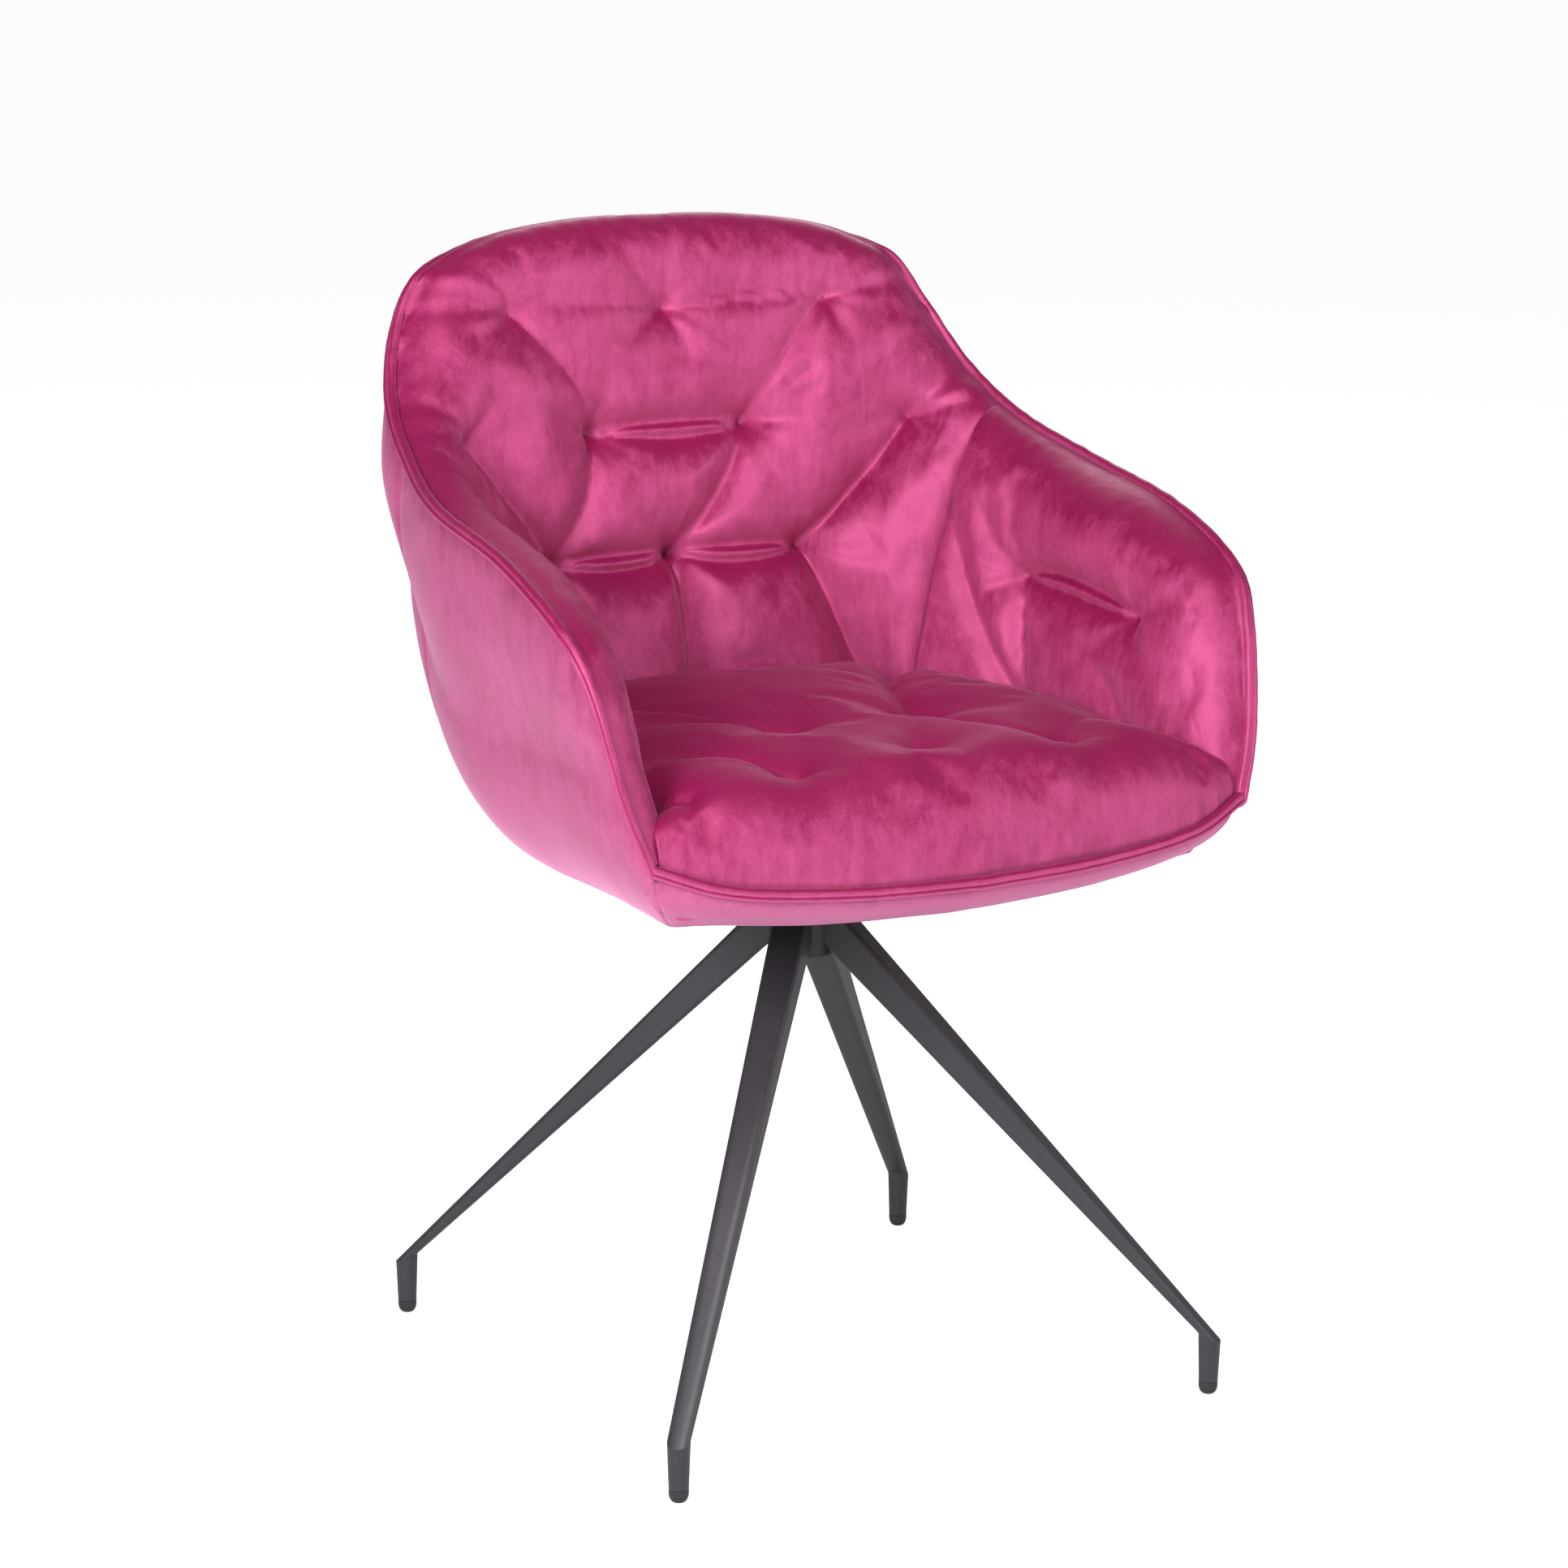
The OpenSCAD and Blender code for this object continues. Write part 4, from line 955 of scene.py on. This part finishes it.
# ---------- staples and tuft stitches ----------
def bent_wire_tree():
    """A short bent wire or thread on every point, turned by the point's own "turn"."""
    tree = bpy.data.node_groups.new("bent_wires", "GeometryNodeTree")
    for label, kind, value in (("Geometry", "NodeSocketGeometry", None), ("Crown", "NodeSocketFloat", 0.01),
                               ("Rise", "NodeSocketFloat", 0.001), ("Wire", "NodeSocketFloat", 0.0008),
                               ("Finish", "NodeSocketMaterial", None)):
        socket = tree.interface.new_socket(name=label, in_out="INPUT", socket_type=kind)
        if value is not None:
            socket.default_value = value
    tree.interface.new_socket(name="Geometry", in_out="OUTPUT", socket_type="NodeSocketGeometry")
    enter = tree.nodes.new("NodeGroupInput").outputs
    half = node(tree, "ShaderNodeMath", {0: enter["Crown"], 1: 0.5}, operation="MULTIPLY").outputs[0]
    minus = node(tree, "ShaderNodeMath", {0: half, 1: -1.0}, operation="MULTIPLY").outputs[0]
    below = node(tree, "ShaderNodeMath", {0: enter["Rise"], 1: -1.0}, operation="MULTIPLY").outputs[0]
    ends = [node(tree, "ShaderNodeCombineXYZ", {"X": x, "Z": z}).outputs[0]
            for x, z in ((minus, below), (minus, enter["Rise"]), (half, enter["Rise"]), (half, below))]
    line = node(tree, "GeometryNodeCurvePrimitiveBezierSegment",
                {"Resolution": 10, "Start": ends[0], "Start Handle": ends[1], "End Handle": ends[2],
                 "End": ends[3]})
    radius = node(tree, "ShaderNodeMath", {0: enter["Wire"], 1: 0.5}, operation="MULTIPLY")
    ring = node(tree, "GeometryNodeCurvePrimitiveCircle", {"Resolution": 8, "Radius": radius.outputs[0]})
    wire = node(tree, "GeometryNodeCurveToMesh",
                {"Curve": line.outputs[0], "Profile Curve": ring.outputs[0], "Fill Caps": True})
    turn = node(tree, "GeometryNodeInputNamedAttribute", {"Name": "turn"}, data_type="FLOAT_VECTOR")
    spin = node(tree, "FunctionNodeEulerToRotation", {0: turn.outputs[0]})
    placed = node(tree, "GeometryNodeInstanceOnPoints",
                  {"Points": enter["Geometry"], "Instance": wire.outputs[0], "Rotation": spin.outputs[0]})
    real = node(tree, "GeometryNodeRealizeInstances", {0: placed.outputs[0]})
    finish = node(tree, "GeometryNodeSetMaterial", {"Geometry": real.outputs[0], "Material": enter["Finish"]})
    leave = tree.nodes.new("NodeGroupOutput")
    tree.links.new(finish.outputs[0], leave.inputs[0])
    return tree


BENT_WIRES = bent_wire_tree()


def bent_wires(name, points, turns, material, **sizes):
    """A plain mesh of bent wires at points in millimetres, each turned by its Euler angles."""
    seed = bpy.data.meshes.new(name + "_points")
    seed.from_pydata((np.asarray(points) * MM).tolist(), [], [])
    turn = seed.attributes.new("turn", "FLOAT_VECTOR", "POINT")
    turn.data.foreach_set("vector", np.asarray(turns, float).ravel())
    holder = bpy.data.objects.new(name + "_points", seed)
    bpy.context.scene.collection.objects.link(holder)
    mod = holder.modifiers.new("wires", "NODES")
    mod.node_group = BENT_WIRES
    named = {item.name: item.identifier for item in BENT_WIRES.interface.items_tree if item.in_out == "INPUT"}
    for label, value in {**sizes, "Finish": material}.items():
        mod[named[label]] = value
    made = holder.evaluated_get(bpy.context.evaluated_depsgraph_get())
    mesh = bpy.data.meshes.new_from_object(made)
    holder.modifiers.remove(mod)
    bpy.data.objects.remove(holder)
    mesh.name = name
    mesh.polygons.foreach_set("use_smooth", [True] * len(mesh.polygons))
    obj = bpy.data.objects.new(name, mesh)
    bpy.context.scene.collection.objects.link(obj)
    return obj


def make_stitches():
    """Two crossed stitches of waxed twine in the bottom of every pinch."""
    points, turns = [], []
    for spot, normal in STITCHES:
        for cross in (0.6, -0.9):
            face = Vector(normal).to_track_quat("Z", "X").to_matrix() @ Matrix.Rotation(cross, 3, "Z")
            points.append(spot)
            turns.append(tuple(face.to_euler()))
    obj = bent_wires("tuft_stitches", points, turns, TWINE, Crown=0.0065, Rise=0.0012, Wire=0.0015)
    finish_piece(obj, "tuft_twine", "seat_ties", "arm_ties_left", "arm_ties_right", "back_ties")


STAPLE_GAP = 24       # along the cloth's edge
CLOTH_T = 0.7
CLOTH_OPENING = 94    # half width of the opening round the swivel plate
EDGE_POINTS = 220


def make_underside():
    """The thin black cloth drawn tight under the board, and the staples that hold its edge."""
    low, high = (np.array(c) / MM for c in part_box("dust_cover"))
    cloth_z = low[2]
    x_half, front_y, rear_y = high[0], low[1], high[1]
    corners = [(x_half - 52, front_y), (x_half - 14, front_y + 38), (x_half, front_y + 86),
               (x_half - 2, rear_y - 92), (x_half - 50, rear_y)]
    outline = np.array(corners + [(-x, y) for x, y in corners[::-1]])
    closed = np.vstack([outline, outline[:1]])
    run = run_length(closed[:, None], 0)[:, 0]
    at = np.linspace(0, run[-1], EDGE_POINTS, endpoint=False)
    edge = np.stack([np.interp(at, run, closed[:, k]) for k in (0, 1)], -1)
    for _ in range(6):
        edge = (np.roll(edge, 1, 0) + edge * 2 + np.roll(edge, -1, 0)) / 4
    angle = np.arctan2(edge[:, 1], edge[:, 0])
    square = CLOTH_OPENING / np.maximum(np.abs(np.cos(angle)), np.abs(np.sin(angle)))
    square = np.minimum(square, CLOTH_OPENING * 1.3)
    hole = np.stack([np.cos(angle), np.sin(angle)], -1) * square[:, None]
    t = np.linspace(0, 1, 15)[None, :, None]
    flat = hole[:, None] * (1 - t) + edge[:, None] * t
    flat = np.concatenate([flat, flat[:1]], 0)
    pull = 0.28 * np.cos(2 * np.pi * np.concatenate([at, [run[-1]]])[:, None] / STAPLE_GAP)
    z = cloth_z + 0.25 - 0.35 * np.sin(np.pi * t[..., 0]) + pull * t[..., 0] ** 4
    face = np.concatenate([flat, z[..., None]], -1)
    cloth = slab_mesh("dust_cloth", face, face + [0, 0, CLOTH_T], DUST_CLOTH)
    smooth_once(cloth)
    finish_piece(cloth, "dust_cloth", "dust_cover")
    spots = np.arange(STAPLE_GAP / 2, run[-1], STAPLE_GAP)
    inset = edge * 0.965
    places = np.stack([np.interp(spots, at, inset[:, k]) for k in (0, 1)], -1)
    heading = np.stack([np.interp(spots + 2, at, inset[:, k]) for k in (0, 1)], -1) - places
    turns = [(math.pi, 0, -math.atan2(d[1], d[0])) for d in heading]
    points = np.column_stack([places, np.full(len(places), cloth_z + 0.1)])
    staples = bent_wires("cloth_staples", points, turns, FINISHES["zinc_hardware"], Crown=0.010, Rise=0.0007,
                         Wire=0.0009)
    finish_piece(staples, "zinc_hardware", "dust_cover_staples")


# ---------- studio ----------
def stage_floor():
    """A plain pale floor, faintly lit from within so that it runs evenly to the horizon."""
    size = 60.0
    mesh = bpy.data.meshes.new("floor")
    corners = [(-size, -size, 0), (size, -size, 0), (size, size, 0), (-size, size, 0)]
    mesh.from_pydata(corners, [], [(0, 1, 2, 3)])
    paint = plain("floor_paint", (0.60, 0.60, 0.60), 0.9, scale=60, bump=0.02, shade=0.99)
    shader = paint.node_tree.nodes["Principled BSDF"]
    seen = paint.node_tree.nodes.new("ShaderNodeLightPath").outputs["Is Camera Ray"]
    glow = node(paint.node_tree, "ShaderNodeMapRange", {"Value": seen, "To Min": 0.12, "To Max": 0.80})
    paint.node_tree.links.new(glow.outputs[0], shader.inputs["Emission Color"])
    shader.inputs["Emission Strength"].default_value = 1.0
    mesh.materials.append(paint)
    floor = bpy.data.objects.new("floor", mesh)
    bpy.context.scene.collection.objects.link(floor)


LIT = (0, 0, 0.5)          # the lights face this point


def area_light(name, place, size, watts):
    """A square soft light at place, turned towards the seat."""
    data = bpy.data.lights.new(name, "AREA")
    data.size = size
    data.energy = watts
    light = bpy.data.objects.new(name, data)
    light.location = place
    light.rotation_euler = (Vector(LIT) - Vector(place)).to_track_quat("-Z", "Y").to_euler()
    bpy.context.scene.collection.objects.link(light)


def studio():
    """Soft daylight from the front left, a weaker fill from the right and an even pale room."""
    stage_floor()
    area_light("key_light", (-2.5, -1.7, 1.7), 1.1, 112)
    area_light("top_light", (-0.7, -1.5, 2.7), 1.1, 58)
    area_light("fill_light", (2.4, -2.4, 1.6), 1.2, 40)
    area_light("rear_light", (1.6, 2.6, 2.0), 1.8, 30)
    world = bpy.data.worlds.new("room")
    world.use_nodes = True
    tree = world.node_tree
    seen = tree.nodes.new("ShaderNodeLightPath").outputs["Is Camera Ray"]
    strength = node(tree, "ShaderNodeMapRange", {"Value": seen, "To Min": 0.25, "To Max": 1.0})
    tree.links.new(strength.outputs[0], tree.nodes["Background"].inputs["Strength"])
    tree.nodes["Background"].inputs["Color"].default_value = (1, 1, 1, 1)
    bpy.context.scene.world = world
    bpy.context.scene.view_settings.view_transform = "Standard"


def set_camera(turn, rise, roll, distance, side, height, lens):
    """A long lens that looks at the chair's axis from an angle round it and above the floor."""
    a, e, r = (math.radians(v) for v in (turn, rise, roll))
    back = Vector((math.sin(a) * math.cos(e), -math.cos(a) * math.cos(e), math.sin(e)))
    level = Vector((math.cos(a), math.sin(a), 0))
    up = back.cross(level)
    x_axis = level * math.cos(r) + up * math.sin(r)
    y_axis = up * math.cos(r) - level * math.sin(r)
    data = bpy.data.cameras.new("camera")
    data.lens = lens
    data.sensor_width = 36
    camera = bpy.data.objects.new("camera", data)
    place = level * side + Vector((0, 0, height)) + back * distance
    camera.matrix_world = Matrix.Translation(place) @ Matrix((x_axis, y_axis, back)).transposed().to_4x4()
    bpy.context.scene.collection.objects.link(camera)
    bpy.context.scene.camera = camera


make_stitches()
make_underside()
studio()
set_camera(turn=-29.7321, rise=12.6733, roll=0.4477, distance=3.287562, side=-0.0141855, height=0.4497865,
           lens=100.35)
